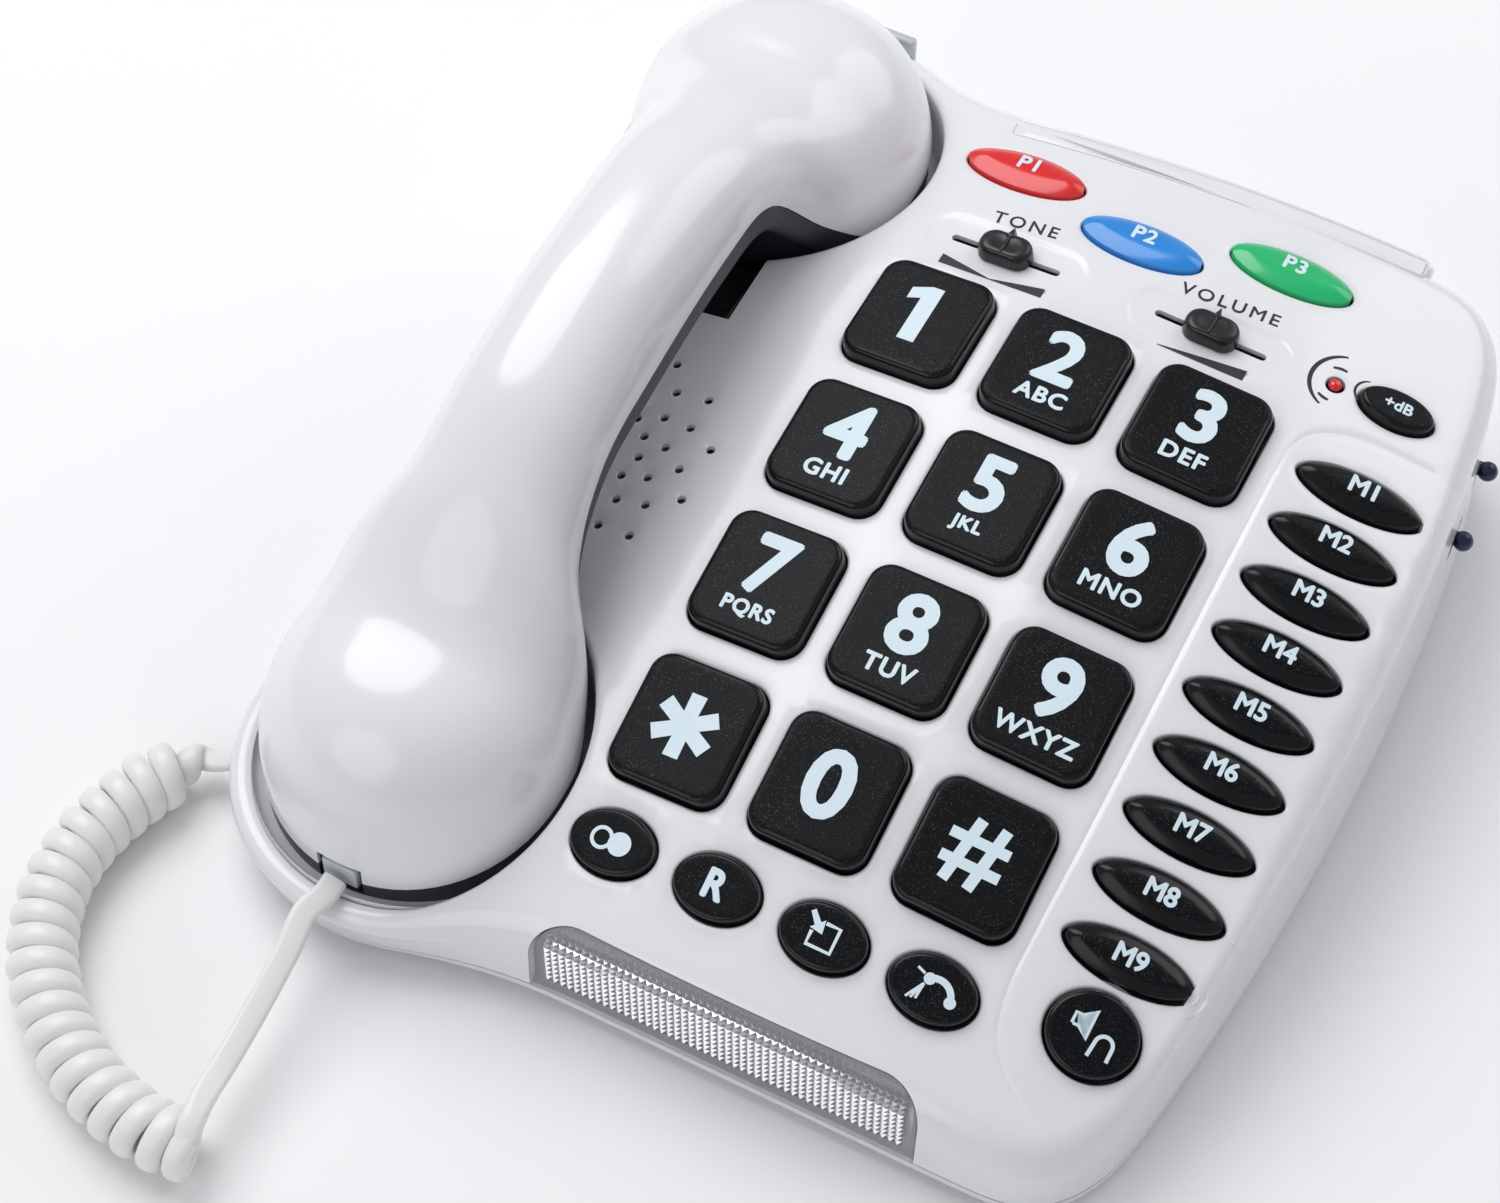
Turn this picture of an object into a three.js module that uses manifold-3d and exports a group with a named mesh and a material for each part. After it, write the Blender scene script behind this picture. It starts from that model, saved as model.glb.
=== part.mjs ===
// A corded desk telephone with large keys, built as separate pieces.
// Millimetres, +Z up, +X to the user's right, -Y towards the user.
// While it is built, x = 0, y = 0 is the middle of the twelve number keys and z = 0 is the desk.
// At the end the whole group moves so that its origin is under the middle of the telephone.

import * as THREE from 'three';
import { mergeVertices } from 'three/addons/utils/BufferGeometryUtils.js';
import Module from 'manifold-3d';

const wasm = await Module();
wasm.setup();

// ---------------------------------------------------------------- driving sizes

const GAP = 0.3; // between pieces that touch
const WALL = 2.3; // base housing
const SHELL = 2.2; // handset shells

// Keypad panel: a plane that leans back, with a shallow crown both ways
const PANEL_TILT = THREE.MathUtils.degToRad(10);
const PANEL_HEIGHT = 52; // above the desk, at the middle of the keypad
const CROWN_X = 0.00139; // drop per square millimetre across
const CROWN_Y = 0.00125; // drop per square millimetre along

// Number keys
const KEY_WIDTH = 24.4;
const KEY_DEPTH = 26;
const KEY_SPACE_X = 5.6; // between number keys
const KEY_SPACE_Y = 6.8;
const KEY_CORNER = 4.5;
const KEY_RISE = 3; // of a key's top above the panel
const KEY_BEVEL = 1.2;
const KEY_TRAVEL = 1.5;
const KEY_GAP = 0.4; // round each key in its hole
const FLANGE = 1.1; // how far a key's flange reaches past its outline
const FLANGE_THICK = 1.1;
const STEM_HALF = 4;

// Other keys: full width and depth
const MEMORY_KEY = [25.4, 8.4];
const MEMORY_PITCH = 13.29;
const FUNCTION_KEY = [17.4, 12.6];
const FUNCTION_PITCH = 22.2;
const SPEAKER_KEY = [17.8, 16];
const PRESET_KEY = [26, 10];
const BOOST_KEY = [15.6, 8.6];

// Margins that place the rest of the base round the keypad
const PAD_TO_WELL = 3.9; // number keys to the handset wells
const PAD_TO_MEMORY = 8.2; // number keys to the memory keys
const MEMORY_TO_EDGE = 7; // memory keys to the widest part of the right side
const PAD_TO_FRONT = 30.8;
const PAD_TO_REAR = 55.6;

// Sliders on the panel
const SLIDER_SPACING = 45; // between the two sliders
const SLIDER_TRAVEL = 9; // each way
const SLIDER_STEM = [4, 1.6];
const SLIDER_KNOB = [12.4, 8.6, 4.2];
const SLOT_WIDTH = 2.4;
const SLIDER_RECESS = [34, 11, 0.6];

// Side switches
const SIDE_TRAVEL = 3;
const SIDE_HEIGHT = 27;
const SIDE_PITCH = 19;
const SIDE_NUB = 2;

// Base housing
const FOOT_HEIGHT = 3;
const FLOOR = 2.3;
const LOBE_WALL = 5.8; // housing round each well
const LOBE_UNDERCUT = 3.4; // how far the mouth lobe's wall draws in at its foot
const LOBE_RIM = PANEL_HEIGHT - 36.6; // lowest height of the top surface
const SIDE_DRAFT = 0.02;
const END_DRAFT = 0.05;
const WAIST_LEFT = 24; // from the handset's axis to the left wall between the lobes
const EAR_LOBE_SHIFT = 3.6; // the ear lobe's centre is this far right of the handset's axis

// Handset
const CUP_SPACING = 150; // mouth cup's centre to ear cup's centre
const EAR_RADIUS = 31.6;
const MOUTH_RADIUS = 31.6;
const WELL_CLEARANCE = 2.4;
const HANDLE_HALF = 16;
// heights of the joint between the handset's two shells, and of the wells' floors
const MOUTH_SEAM = PANEL_HEIGHT - 26;
const EAR_SEAM = PANEL_HEIGHT - 2;
const MOUTH_FRONT_DROP = 8;
const HANDLE_ARCH = 34; // of the joint above the line between the cups
const HANDLE_UNDER = 6; // inner shell's depth below the joint, along the handle
const MOUTH_FLOOR = PANEL_HEIGHT - 38;
const EAR_FLOOR = PANEL_HEIGHT - 16;

// Modular plug and jack of the handset cord
const PLUG = [7.65, 12, 6.3]; // width, length, height
const JACK_WALL = 1.1;
const CORD_FLAT = [5, 2.4];
const COIL_DIAMETER = 14;

// ---------------------------------------------------------------- places that follow

const KEY_PITCH_X = KEY_WIDTH + KEY_SPACE_X;
const KEY_PITCH_Y = KEY_DEPTH + KEY_SPACE_Y;
const PAD_HALF_X = KEY_PITCH_X + KEY_WIDTH / 2;
const PAD_HALF_Y = 1.5 * KEY_PITCH_Y + KEY_DEPTH / 2;
const EAR_WELL = EAR_RADIUS + WELL_CLEARANCE;
const MOUTH_WELL = MOUTH_RADIUS + WELL_CLEARANCE;
const HANDSET_X = -(PAD_HALF_X + PAD_TO_WELL + Math.max(EAR_WELL, MOUTH_WELL));
const MEMORY_X = PAD_HALF_X + PAD_TO_MEMORY + MEMORY_KEY[0] / 2;
const RIGHT_EDGE = MEMORY_X + MEMORY_KEY[0] / 2 + MEMORY_TO_EDGE;
const FRONT_EDGE = -(PAD_HALF_Y + PAD_TO_FRONT);
const REAR_EDGE = PAD_HALF_Y + PAD_TO_REAR;
const EAR_Y = REAR_EDGE - 31.8;
const MOUTH_Y = EAR_Y - CUP_SPACING;
const EAR_LOBE = EAR_WELL + LOBE_WALL + 0.6;
const MOUTH_LOBE = MOUTH_WELL + LOBE_WALL;
const FLOOR_TOP = FOOT_HEIGHT + FLOOR;
const SKIRT_BOTTOM = FLOOR_TOP + GAP;
const SLIDER_Y = PAD_HALF_Y + 11.1;
const PRESET_Y = PAD_HALF_Y + 33.3;
const FUNCTION_Y = -(PAD_HALF_Y + 12);

// ---------------------------------------------------------------- solids

const group = new THREE.Group();

function solid(geometry, matrix) {
  const bare = geometry.clone();
  bare.deleteAttribute('normal');
  bare.deleteAttribute('uv');
  if (matrix) bare.applyMatrix4(matrix);
  const merged = mergeVertices(bare, 1e-4);
  return new wasm.Manifold(
    new wasm.Mesh({
      numProp: 3,
      vertProperties: new Float32Array(merged.attributes.position.array),
      triVerts: new Uint32Array(merged.index.array),
    }),
  );
}

const join = (first, ...others) => others.reduce((whole, other) => whole.add(other), first);
const cut = (first, ...tools) => tools.reduce((whole, tool) => whole.subtract(tool), first);

function geometryOf(manifold) {
  const mesh = manifold.getMesh();
  const geometry = new THREE.BufferGeometry();
  geometry.setAttribute('position', new THREE.BufferAttribute(new Float32Array(mesh.vertProperties), 3));
  geometry.setIndex(new THREE.BufferAttribute(new Uint32Array(mesh.triVerts), 1));
  return geometry;
}

function box(x0, x1, y0, y1, z0, z1) {
  const geometry = new THREE.BoxGeometry(x1 - x0, y1 - y0, z1 - z0);
  return solid(geometry.translate((x0 + x1) / 2, (y0 + y1) / 2, (z0 + z1) / 2));
}

function cylinder(x, y, z0, z1, radius, sides = 28) {
  const geometry = new THREE.CylinderGeometry(radius, radius, z1 - z0, sides);
  return solid(geometry.rotateX(Math.PI / 2).translate(x, y, (z0 + z1) / 2));
}

// Joins rings of equal length into one closed geometry with its faces pointing out
function loft(rings) {
  const count = rings[0].length;
  const corners = rings.flat();
  const triangles = [];
  for (let ring = 0; ring + 1 < rings.length; ring++) {
    for (let i = 0; i < count; i++) {
      const a = ring * count + i;
      const b = ring * count + ((i + 1) % count);
      triangles.push([a, b, b + count], [a, b + count, a + count]);
    }
  }
  const last = (rings.length - 1) * count;
  for (const [start, ring, isLast] of [[0, rings[0], false], [last, rings[rings.length - 1], true]]) {
    const flat = flatten(ring);
    const flip = isLast === THREE.ShapeUtils.isClockWise(flat);
    for (const [a, b, c] of THREE.ShapeUtils.triangulateShape(flat, [])) {
      triangles.push(flip ? [start + c, start + b, start + a] : [start + a, start + b, start + c]);
    }
  }
  const volume = triangles.reduce((sum, [a, b, c]) => (
    sum + corners[a].dot(new THREE.Vector3().crossVectors(corners[b], corners[c]))), 0);
  if (volume < 0) triangles.forEach((triangle) => triangle.reverse());
  const geometry = new THREE.BufferGeometry().setFromPoints(corners);
  geometry.setIndex(triangles.flat());
  return geometry;
}

// A ring's points in its own plane: seen from above, or along Y for an upright ring
function flatten(ring) {
  const size = new THREE.Box3().setFromPoints(ring).getSize(new THREE.Vector3());
  const upright = size.y < size.z && size.y < size.x;
  return ring.map((point) => new THREE.Vector2(upright ? point.z : point.x, upright ? point.x : point.y));
}

const atHeight = (points, z) => points.map((point) => new THREE.Vector3(point.x, point.y, z));

function add(name, shape, colour, roughness, options = {}) {
  const geometry = shape.isBufferGeometry ? shape : geometryOf(shape);
  const material = new THREE.MeshStandardMaterial({
    color: colour,
    roughness,
    metalness: options.metalness ?? 0,
    transparent: options.opacity !== undefined,
    opacity: options.opacity ?? 1,
  });
  const mesh = new THREE.Mesh(geometry, material);
  mesh.name = name;
  (options.parent ?? group).add(mesh);
  return mesh;
}

const WHITE = 0xe7e9ec;
const BLACK = 0x0c0d0f;
const CHARCOAL = 0x1b1e23;
const CLEAR = 0xe4e8ec;

// ---------------------------------------------------------------- panel surface

const panel = new THREE.Group();
panel.rotation.x = PANEL_TILT;
panel.position.z = PANEL_HEIGHT;
group.add(panel);
panel.updateMatrix();

const crown = (x, y) => -(CROWN_X * x * x + CROWN_Y * y * y);

// Height above the desk of the panel's surface over a point of the desk
function panelTop(x, y) {
  const sine = Math.sin(PANEL_TILT);
  const cosine = Math.cos(PANEL_TILT);
  const a = sine * CROWN_Y;
  const c = sine * CROWN_X * x * x - y;
  const along = (-cosine + Math.sqrt(cosine * cosine - 4 * a * c)) / (2 * a);
  return along * sine + crown(x, along) * cosine + PANEL_HEIGHT;
}

// The base's top: the crowned panel, which levels out at the front lobe's rim
function baseTop(x, y) {
  const blend = 2;
  const above = panelTop(x, y) - LOBE_RIM;
  return LOBE_RIM + (above + Math.sqrt(above * above + blend * blend)) / 2;
}

// Everything below the base's top, lowered by a depth
function belowTop(depth) {
  const columns = 12;
  const rows = 13;
  const low = [HANDSET_X - EAR_LOBE - 10, FRONT_EDGE - 24];
  const high = [RIGHT_EDGE + 10, EAR_Y + EAR_LOBE + 10];
  const plane = new THREE.BoxGeometry(1, 1, 1, columns, rows, 1);
  const position = plane.attributes.position;
  for (let i = 0; i < position.count; i++) {
    const x = THREE.MathUtils.lerp(low[0], high[0], position.getX(i) + 0.5);
    const y = THREE.MathUtils.lerp(low[1], high[1], position.getY(i) + 0.5);
    const z = position.getZ(i) > 0 ? baseTop(x, y) - depth : -10;
    position.setXYZ(i, x, y, z);
  }
  return solid(plane);
}

// ---------------------------------------------------------------- base outline

// The base's outline at a height, drawn in by an inset; it always has the same number of points
function baseOutline(height, inset = 0) {
  const up = height - FOOT_HEIGHT;
  const side = inset + SIDE_DRAFT * up;
  const end = inset + END_DRAFT * up;
  const right = RIGHT_EDGE - side;
  const front = FRONT_EDGE + end;
  const rear = REAR_EDGE - end;
  const ear = EAR_LOBE - end;
  const undercut = LOBE_UNDERCUT * Math.max(0, 1 - up / (LOBE_RIM - FOOT_HEIGHT));
  const mouth = MOUTH_LOBE - inset - undercut;
  const waist = HANDSET_X - WAIST_LEFT + inset;
  const middle = (FRONT_EDGE + REAR_EDGE) / 2;
  const earStart = THREE.MathUtils.degToRad(57);
  const mouthEnd = THREE.MathUtils.degToRad(292);
  const earX = HANDSET_X + EAR_LOBE_SHIFT;
  const onEar = (angle) => [earX + ear * Math.cos(angle), EAR_Y + ear * Math.sin(angle)];
  const onMouth = (angle) => [HANDSET_X + mouth * Math.cos(angle), MOUTH_Y + mouth * Math.sin(angle)];

  const points = [];
  const line = (x, y) => points.push(new THREE.Vector2(x, y));
  const bend = (start, control, finish, steps) => {
    const curve = new THREE.QuadraticBezierCurve(
      new THREE.Vector2(...start), new THREE.Vector2(...control), new THREE.Vector2(...finish));
    points.push(...curve.getPoints(steps).slice(0, -1));
  };
  const arc = (centreX, centreY, radius, from, to, steps) => {
    const curve = new THREE.EllipseCurve(centreX, centreY, radius, radius, from, to, false);
    points.push(...curve.getPoints(steps).slice(0, -1));
  };

  const frontLeft = [HANDSET_X + 42, front];
  const rightFront = [right - 7.5, front + 19];
  const rightRear = [right - 4, rear - 28];
  line(...frontLeft);
  bend([right - 28, front], [right - 12.5, front], rightFront, 5);
  bend(rightFront, [right + 6, middle - 6], rightRear, 7);
  bend(rightRear, [right - 7, rear], [right - 24, rear], 5);
  bend([HANDSET_X + 42, rear], [HANDSET_X + 31, rear], onEar(earStart), 3);
  arc(earX, EAR_Y, ear, earStart, Math.PI * 1.08, 11);
  bend(onEar(Math.PI * 1.08), [waist, EAR_Y - EAR_LOBE * 0.55], [waist, middle - 4], 5);
  bend([waist, middle - 4], [waist, MOUTH_Y + mouth * 0.8], onMouth(Math.PI * 0.9), 5);
  arc(HANDSET_X, MOUTH_Y, mouth, Math.PI * 0.9, mouthEnd, 12);
  bend(onMouth(mouthEnd), [HANDSET_X + 27, front - 1], frontLeft, 4);
  return points;
}

function baseBody(z0, z1, inset) {
  const heights = z0 < LOBE_RIM && z1 > LOBE_RIM ? [z0, LOBE_RIM, z1] : [z0, z1];
  return solid(loft(heights.map((z) => atHeight(baseOutline(z, inset), z))));
}

// ---------------------------------------------------------------- key outlines

function roundedRectangle(width, depth, corner, steps = 2) {
  return (outset) => {
    const points = [];
    const radius = Math.max(corner + outset, 0.4);
    const x = width / 2 + outset - radius;
    const y = depth / 2 + outset - radius;
    for (const [sx, sy, start] of [[1, -1, -90], [1, 1, 0], [-1, 1, 90], [-1, -1, 180]]) {
      for (let i = 0; i <= steps; i++) {
        const angle = THREE.MathUtils.degToRad(start + (90 * i) / steps);
        points.push(new THREE.Vector2(sx * x + radius * Math.cos(angle), sy * y + radius * Math.sin(angle)));
      }
    }
    return points;
  };
}

// A point power above 1 draws the ends of an oval into points, which can have an outset of their own
function oval(width, depth, sides, point = 1) {
  return (outset, tip = outset) => {
    const points = [];
    for (let i = 0; i < sides; i++) {
      const angle = (2 * Math.PI * i) / sides;
      const rise = Math.sign(Math.sin(angle)) * Math.abs(Math.sin(angle)) ** point;
      points.push(new THREE.Vector2((width / 2 + tip) * Math.cos(angle), (depth / 2 + outset) * rise));
    }
    return points;
  };
}

const keys = [];
const numberNames = ['1', '2', '3', '4', '5', '6', '7', '8', '9', 'star', '0', 'hash'];
numberNames.forEach((name, i) => {
  keys.push({
    name: `key_${name}`,
    x: ((i % 3) - 1) * KEY_PITCH_X,
    y: (1.5 - Math.floor(i / 3)) * KEY_PITCH_Y,
    outline: roundedRectangle(KEY_WIDTH, KEY_DEPTH, KEY_CORNER),
    rise: KEY_RISE,
    colour: BLACK,
  });
});
for (let i = 0; i < 9; i++) {
  keys.push({
    name: `key_memory_${i + 1}`,
    x: MEMORY_X,
    y: (4 - i) * MEMORY_PITCH - 0.6,
    outline: oval(...MEMORY_KEY, 12, 1.25),
    slimTips: true,
    rise: 2.4,
    colour: BLACK,
  });
}
['mute', 'recall', 'store', 'redial'].forEach((name, i) => {
  keys.push({
    name: `key_${name}`,
    x: (i - 1.5) * FUNCTION_PITCH + 0.2,
    y: FUNCTION_Y,
    outline: oval(...FUNCTION_KEY, 12),
    rise: 2.2,
    colour: BLACK,
  });
});
keys.push({
  name: 'key_speaker',
  x: MEMORY_X - 0.4,
  y: FUNCTION_Y + 5.6,
  outline: oval(...SPEAKER_KEY, 12),
  rise: 2.2,
  colour: BLACK,
});
[[0xd8140f, 0], [0x1478d8, -7.6], [0x0ac470, 0.2]].forEach(([colour, shift], i) => {
  keys.push({
    name: `key_preset_${i + 1}`,
    x: (i - 1) * 29.5 + 1,
    y: PRESET_Y + shift,
    outline: oval(...PRESET_KEY, 12),
    rise: 1.8,
    colour,
  });
});
keys.push({
  name: 'key_boost',
  x: MEMORY_X - 1.4,
  y: SLIDER_Y + 1.4,
  outline: oval(...BOOST_KEY, 12),
  rise: 2,
  colour: BLACK,
});

// Under the panel: the deepest key's flange sets where every stem ends, and the mat and board follow
const deepest = Math.min(...keys.map((key) => Math.min(...key.outline(FLANGE).map(
  (point) => crown(key.x + point.x, key.y + point.y)))));
const STEM_END = deepest - WALL - GAP - FLANGE_THICK - 0.4;
const MAT_TOP = STEM_END - KEY_TRAVEL - 0.4;
const MAT_THICK = 1.2;
const BOARD_TOP = MAT_TOP - MAT_THICK - GAP;
const BOARD_THICK = 1.6;

// ---------------------------------------------------------------- keys

function keySolid(key) {
  const follow = (outset, z, tip) => key.outline(outset, tip).map(
    (point) => new THREE.Vector3(point.x, point.y, z + crown(key.x + point.x, key.y + point.y)));
  const stem = (z) => key.outline(0).map((point) => {
    const reach = STEM_HALF / Math.max(Math.abs(point.x), Math.abs(point.y));
    return new THREE.Vector3(point.x * Math.min(reach, 0.45), point.y * Math.min(reach, 0.45), z);
  });
  const flangeLow = -WALL - GAP - FLANGE_THICK;
  const flangeTip = key.slimTips ? 0.1 : FLANGE;
  const stemTop = Math.min(...follow(FLANGE, flangeLow, flangeTip).map((point) => point.z));
  const flangeBottom = follow(FLANGE, flangeLow, flangeTip).map((point) => point.setZ(stemTop));
  return loft([
    stem(STEM_END),
    stem(stemTop),
    flangeBottom,
    follow(FLANGE, -WALL - GAP, flangeTip),
    follow(0, -WALL - GAP),
    follow(0, key.rise - KEY_BEVEL),
    follow(-KEY_BEVEL, key.rise),
  ]);
}

for (const key of keys) {
  const mesh = add(key.name, keySolid(key), key.colour, 0.4, { parent: panel });
  mesh.position.set(key.x, key.y, 0);
}

const keyHoles = keys.map((key) => {
  const rings = [-9, 12].map((z) => atHeight(key.outline(KEY_GAP), z + crown(key.x, key.y)));
  const matrix = panel.matrix.clone().multiply(new THREE.Matrix4().makeTranslation(key.x, key.y, 0));
  return solid(loft(rings), matrix);
});

// ---------------------------------------------------------------- panel sliders

// A frame whose XY plane is tangent to the crown at a slider, kept upright by shearing
function tangentFrame(x, y) {
  const shear = new THREE.Matrix4().set(
    1, 0, 0, x,
    0, 1, 0, y,
    -2 * CROWN_X * x, -2 * CROWN_Y * y, 1, crown(x, y),
    0, 0, 0, 1,
  );
  return panel.matrix.clone().multiply(shear);
}

function rectangle(width, depth, z) {
  const half = [width / 2, depth / 2];
  return [[1, -1], [1, 1], [-1, 1], [-1, -1]].map(([sx, sy]) => new THREE.Vector3(sx * half[0], sy * half[1], z));
}

const sliderRecessDrop = CROWN_X * (SLIDER_RECESS[0] / 2) ** 2 + CROWN_Y * (SLIDER_RECESS[1] / 2) ** 2;
const sliderFloor = -Math.max(SLIDER_RECESS[2], sliderRecessDrop + 0.1);
const sliderTools = [];
for (const [name, sign] of [['tone', -1], ['volume', 1]]) {
  const frame = tangentFrame((sign * SLIDER_SPACING) / 2, SLIDER_Y);
  const plateTop = -WALL - sliderRecessDrop - GAP;
  const knobBottom = sliderFloor + GAP;
  const knobTop = sliderFloor + SLIDER_KNOB[2];
  const [knobWidth, knobDepth] = SLIDER_KNOB;
  const knob = loft([
    rectangle(10, 6, plateTop - 1.3),
    rectangle(10, 6, plateTop),
    rectangle(...SLIDER_STEM, plateTop),
    rectangle(...SLIDER_STEM, knobBottom),
    rectangle(knobWidth, knobDepth, knobBottom),
    rectangle(knobWidth, knobDepth, knobTop - 1.2),
    rectangle(knobWidth - 2.4, knobDepth - 2.4, knobTop),
  ]);
  add(`${name}_slider_knob`, knob.applyMatrix4(frame), BLACK, 0.35);
  const slotLength = 2 * SLIDER_TRAVEL + SLIDER_STEM[0] + 1.6;
  const slot = loft([rectangle(slotLength, SLOT_WIDTH, -8), rectangle(slotLength, SLOT_WIDTH, 4)]);
  const recessOutline = roundedRectangle(SLIDER_RECESS[0], SLIDER_RECESS[1], SLIDER_RECESS[1] / 2 - 0.01, 4)(0);
  const recess = loft([sliderFloor, 6].map((z) => atHeight(recessOutline, z)));
  sliderTools.push(solid(slot, frame), solid(recess, frame));
}

// ---------------------------------------------------------------- alert light window

const LENS_LEFT = HANDSET_X + 40;
const LENS_RIGHT = RIGHT_EDGE - 42;
const LENS_CORNER = 9;
const LENS_LOOK = THREE.MathUtils.degToRad(40); // its corners are round as seen from this far above the desk

// The window's outline, swept back through the front edge of the housing
function lensPrism(outset) {
  const width = LENS_RIGHT - LENS_LEFT;
  const rise = 60;
  const outline = roundedRectangle(width, rise, LENS_CORNER, 4)(outset);
  const prism = loft([-22, 14].map((z) => atHeight(outline, z)));
  const edge = new THREE.Vector3((LENS_LEFT + LENS_RIGHT) / 2, FRONT_EDGE + 4, panelTop(0, FRONT_EDGE + 4));
  const frame = new THREE.Matrix4().makeRotationX(Math.PI / 2 - LENS_LOOK);
  frame.setPosition(edge);
  frame.multiply(new THREE.Matrix4().makeTranslation(0, -rise / 2, 0));
  return solid(prism, frame);
}

// ---------------------------------------------------------------- base housing

const TOP_LIMIT = PANEL_HEIGHT + 40;
const outerBody = baseBody(SKIRT_BOTTOM, TOP_LIMIT, 0).intersect(belowTop(0));
const innerBody = baseBody(SKIRT_BOTTOM - 1, TOP_LIMIT, WALL).intersect(belowTop(WALL));
const frontShell = outerBody.subtract(innerBody);
const liners = join(
  cylinder(HANDSET_X, EAR_Y, EAR_FLOOR - WALL, TOP_LIMIT, EAR_WELL + WALL),
  cylinder(HANDSET_X, MOUTH_Y, MOUTH_FLOOR - WALL, TOP_LIMIT, MOUTH_WELL + WALL),
).intersect(outerBody);
const wells = [
  cylinder(HANDSET_X, EAR_Y, EAR_FLOOR, TOP_LIMIT, EAR_WELL),
  cylinder(HANDSET_X, MOUTH_Y, MOUTH_FLOOR, TOP_LIMIT, MOUTH_WELL),
];

// Hook switch: a plunger at the front edge of the ear well, with a nose under the ear cup
const HOOK_X = HANDSET_X + 6.5;
const HOOK_HALF = 6;
const HOOK_FRONT = EAR_Y - EAR_WELL - 14;
const HOOK_BACK = EAR_Y - EAR_RADIUS + 9;
const hookTop = baseTop(HOOK_X, HOOK_FRONT) - 1.5;
const hookStep = EAR_Y - EAR_WELL + 1.2;
const hookPocket = join(
  box(HOOK_X - HOOK_HALF - 1, HOOK_X + HOOK_HALF + 1, HOOK_FRONT - 1, hookStep + 3, EAR_FLOOR - 8, TOP_LIMIT),
  box(HOOK_X - HOOK_HALF - 1, HOOK_X + HOOK_HALF + 1, hookStep, HOOK_BACK + 1, EAR_FLOOR - 8, EAR_FLOOR + 1),
);

// Handset cord's jack in the left side of the mouth lobe, and the line jack at the rear
const JACK_ANGLE = THREE.MathUtils.degToRad(201);
const JACK_Z = SKIRT_BOTTOM + 4.1;
const jackOuter = [PLUG[0] + 2 * JACK_WALL + 0.6, PLUG[1] + 2, PLUG[2] + 1.2];
const jackFrame = new THREE.Matrix4().makeRotationZ(JACK_ANGLE - Math.PI / 2);
const jackReach = MOUTH_LOBE - LOBE_UNDERCUT - 0.6;
jackFrame.setPosition(
  HANDSET_X + jackReach * Math.cos(JACK_ANGLE), MOUTH_Y + jackReach * Math.sin(JACK_ANGLE), JACK_Z);

// A block in a jack's own frame: +Y is the way out of its mouth, y = 0 is its mouth
function jackBlock(width, height, y0, y1, frame) {
  const geometry = new THREE.BoxGeometry(width, y1 - y0, height).translate(0, (y0 + y1) / 2, 0);
  return solid(geometry, frame);
}

function jackSolid(frame) {
  return cut(
    jackBlock(jackOuter[0], jackOuter[2], -jackOuter[1], 0, frame),
    jackBlock(PLUG[0] + 0.6, PLUG[2] + 0.6 - 0.3, -PLUG[1] + 0.5, 1, frame),
  );
}

const LINE_JACK_X = KEY_PITCH_X * 0.7;
const lineJackFrame = new THREE.Matrix4().makeTranslation(LINE_JACK_X, REAR_EDGE - 1.5, JACK_Z + 1);

// Small hook that holds the handset when the telephone hangs on a wall
const HOOK_TAB = [15, 2.2, 12];
const tabX = HANDSET_X + 5.5;
const tabY = EAR_Y + EAR_WELL + 2.2;
const tabTop = baseTop(tabX, tabY) + 4.8;

const SIDE_Y = REAR_EDGE - 36;
const sideSlots = [0.5, -0.5].map((step) => {
  const y = SIDE_Y + step * SIDE_PITCH;
  const half = SIDE_TRAVEL + 2.2;
  return box(RIGHT_EDGE - 20, RIGHT_EDGE + 20, y - half, y + half, SIDE_HEIGHT - 1.6, SIDE_HEIGHT + 1.6);
});

const LED = [MEMORY_X - 14.2, SLIDER_Y + 1.1];
const ledHole = solid(
  new THREE.CylinderGeometry(2.1, 2.1, 20, 12).rotateX(Math.PI / 2),
  panel.matrix.clone().multiply(new THREE.Matrix4().makeTranslation(...LED, crown(...LED))),
);

add('base_upper_housing', cut(
  join(frontShell, liners),
  ...wells,
  ...keyHoles,
  ...sliderTools,
  lensPrism(GAP),
  hookPocket,
  jackBlock(jackOuter[0] + 2 * GAP, jackOuter[2] + 2 * GAP, -jackOuter[1] - GAP, 12, jackFrame),
  jackBlock(jackOuter[0] + 2 * GAP, jackOuter[2] + 2 * GAP, -jackOuter[1] - GAP, 12, lineJackFrame),
  box(tabX - HOOK_TAB[0] / 2 - GAP, tabX + HOOK_TAB[0] / 2 + GAP, tabY - GAP, tabY + HOOK_TAB[1] + GAP,
    tabTop - HOOK_TAB[2] - GAP, TOP_LIMIT),
  ...sideSlots,
  ledHole,
), WHITE, 0.25);

add('alert_lens', frontShell.intersect(lensPrism(0)), CLEAR, 0.08, { opacity: 0.4 });

// ---------------------------------------------------------------- lower housing

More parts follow.
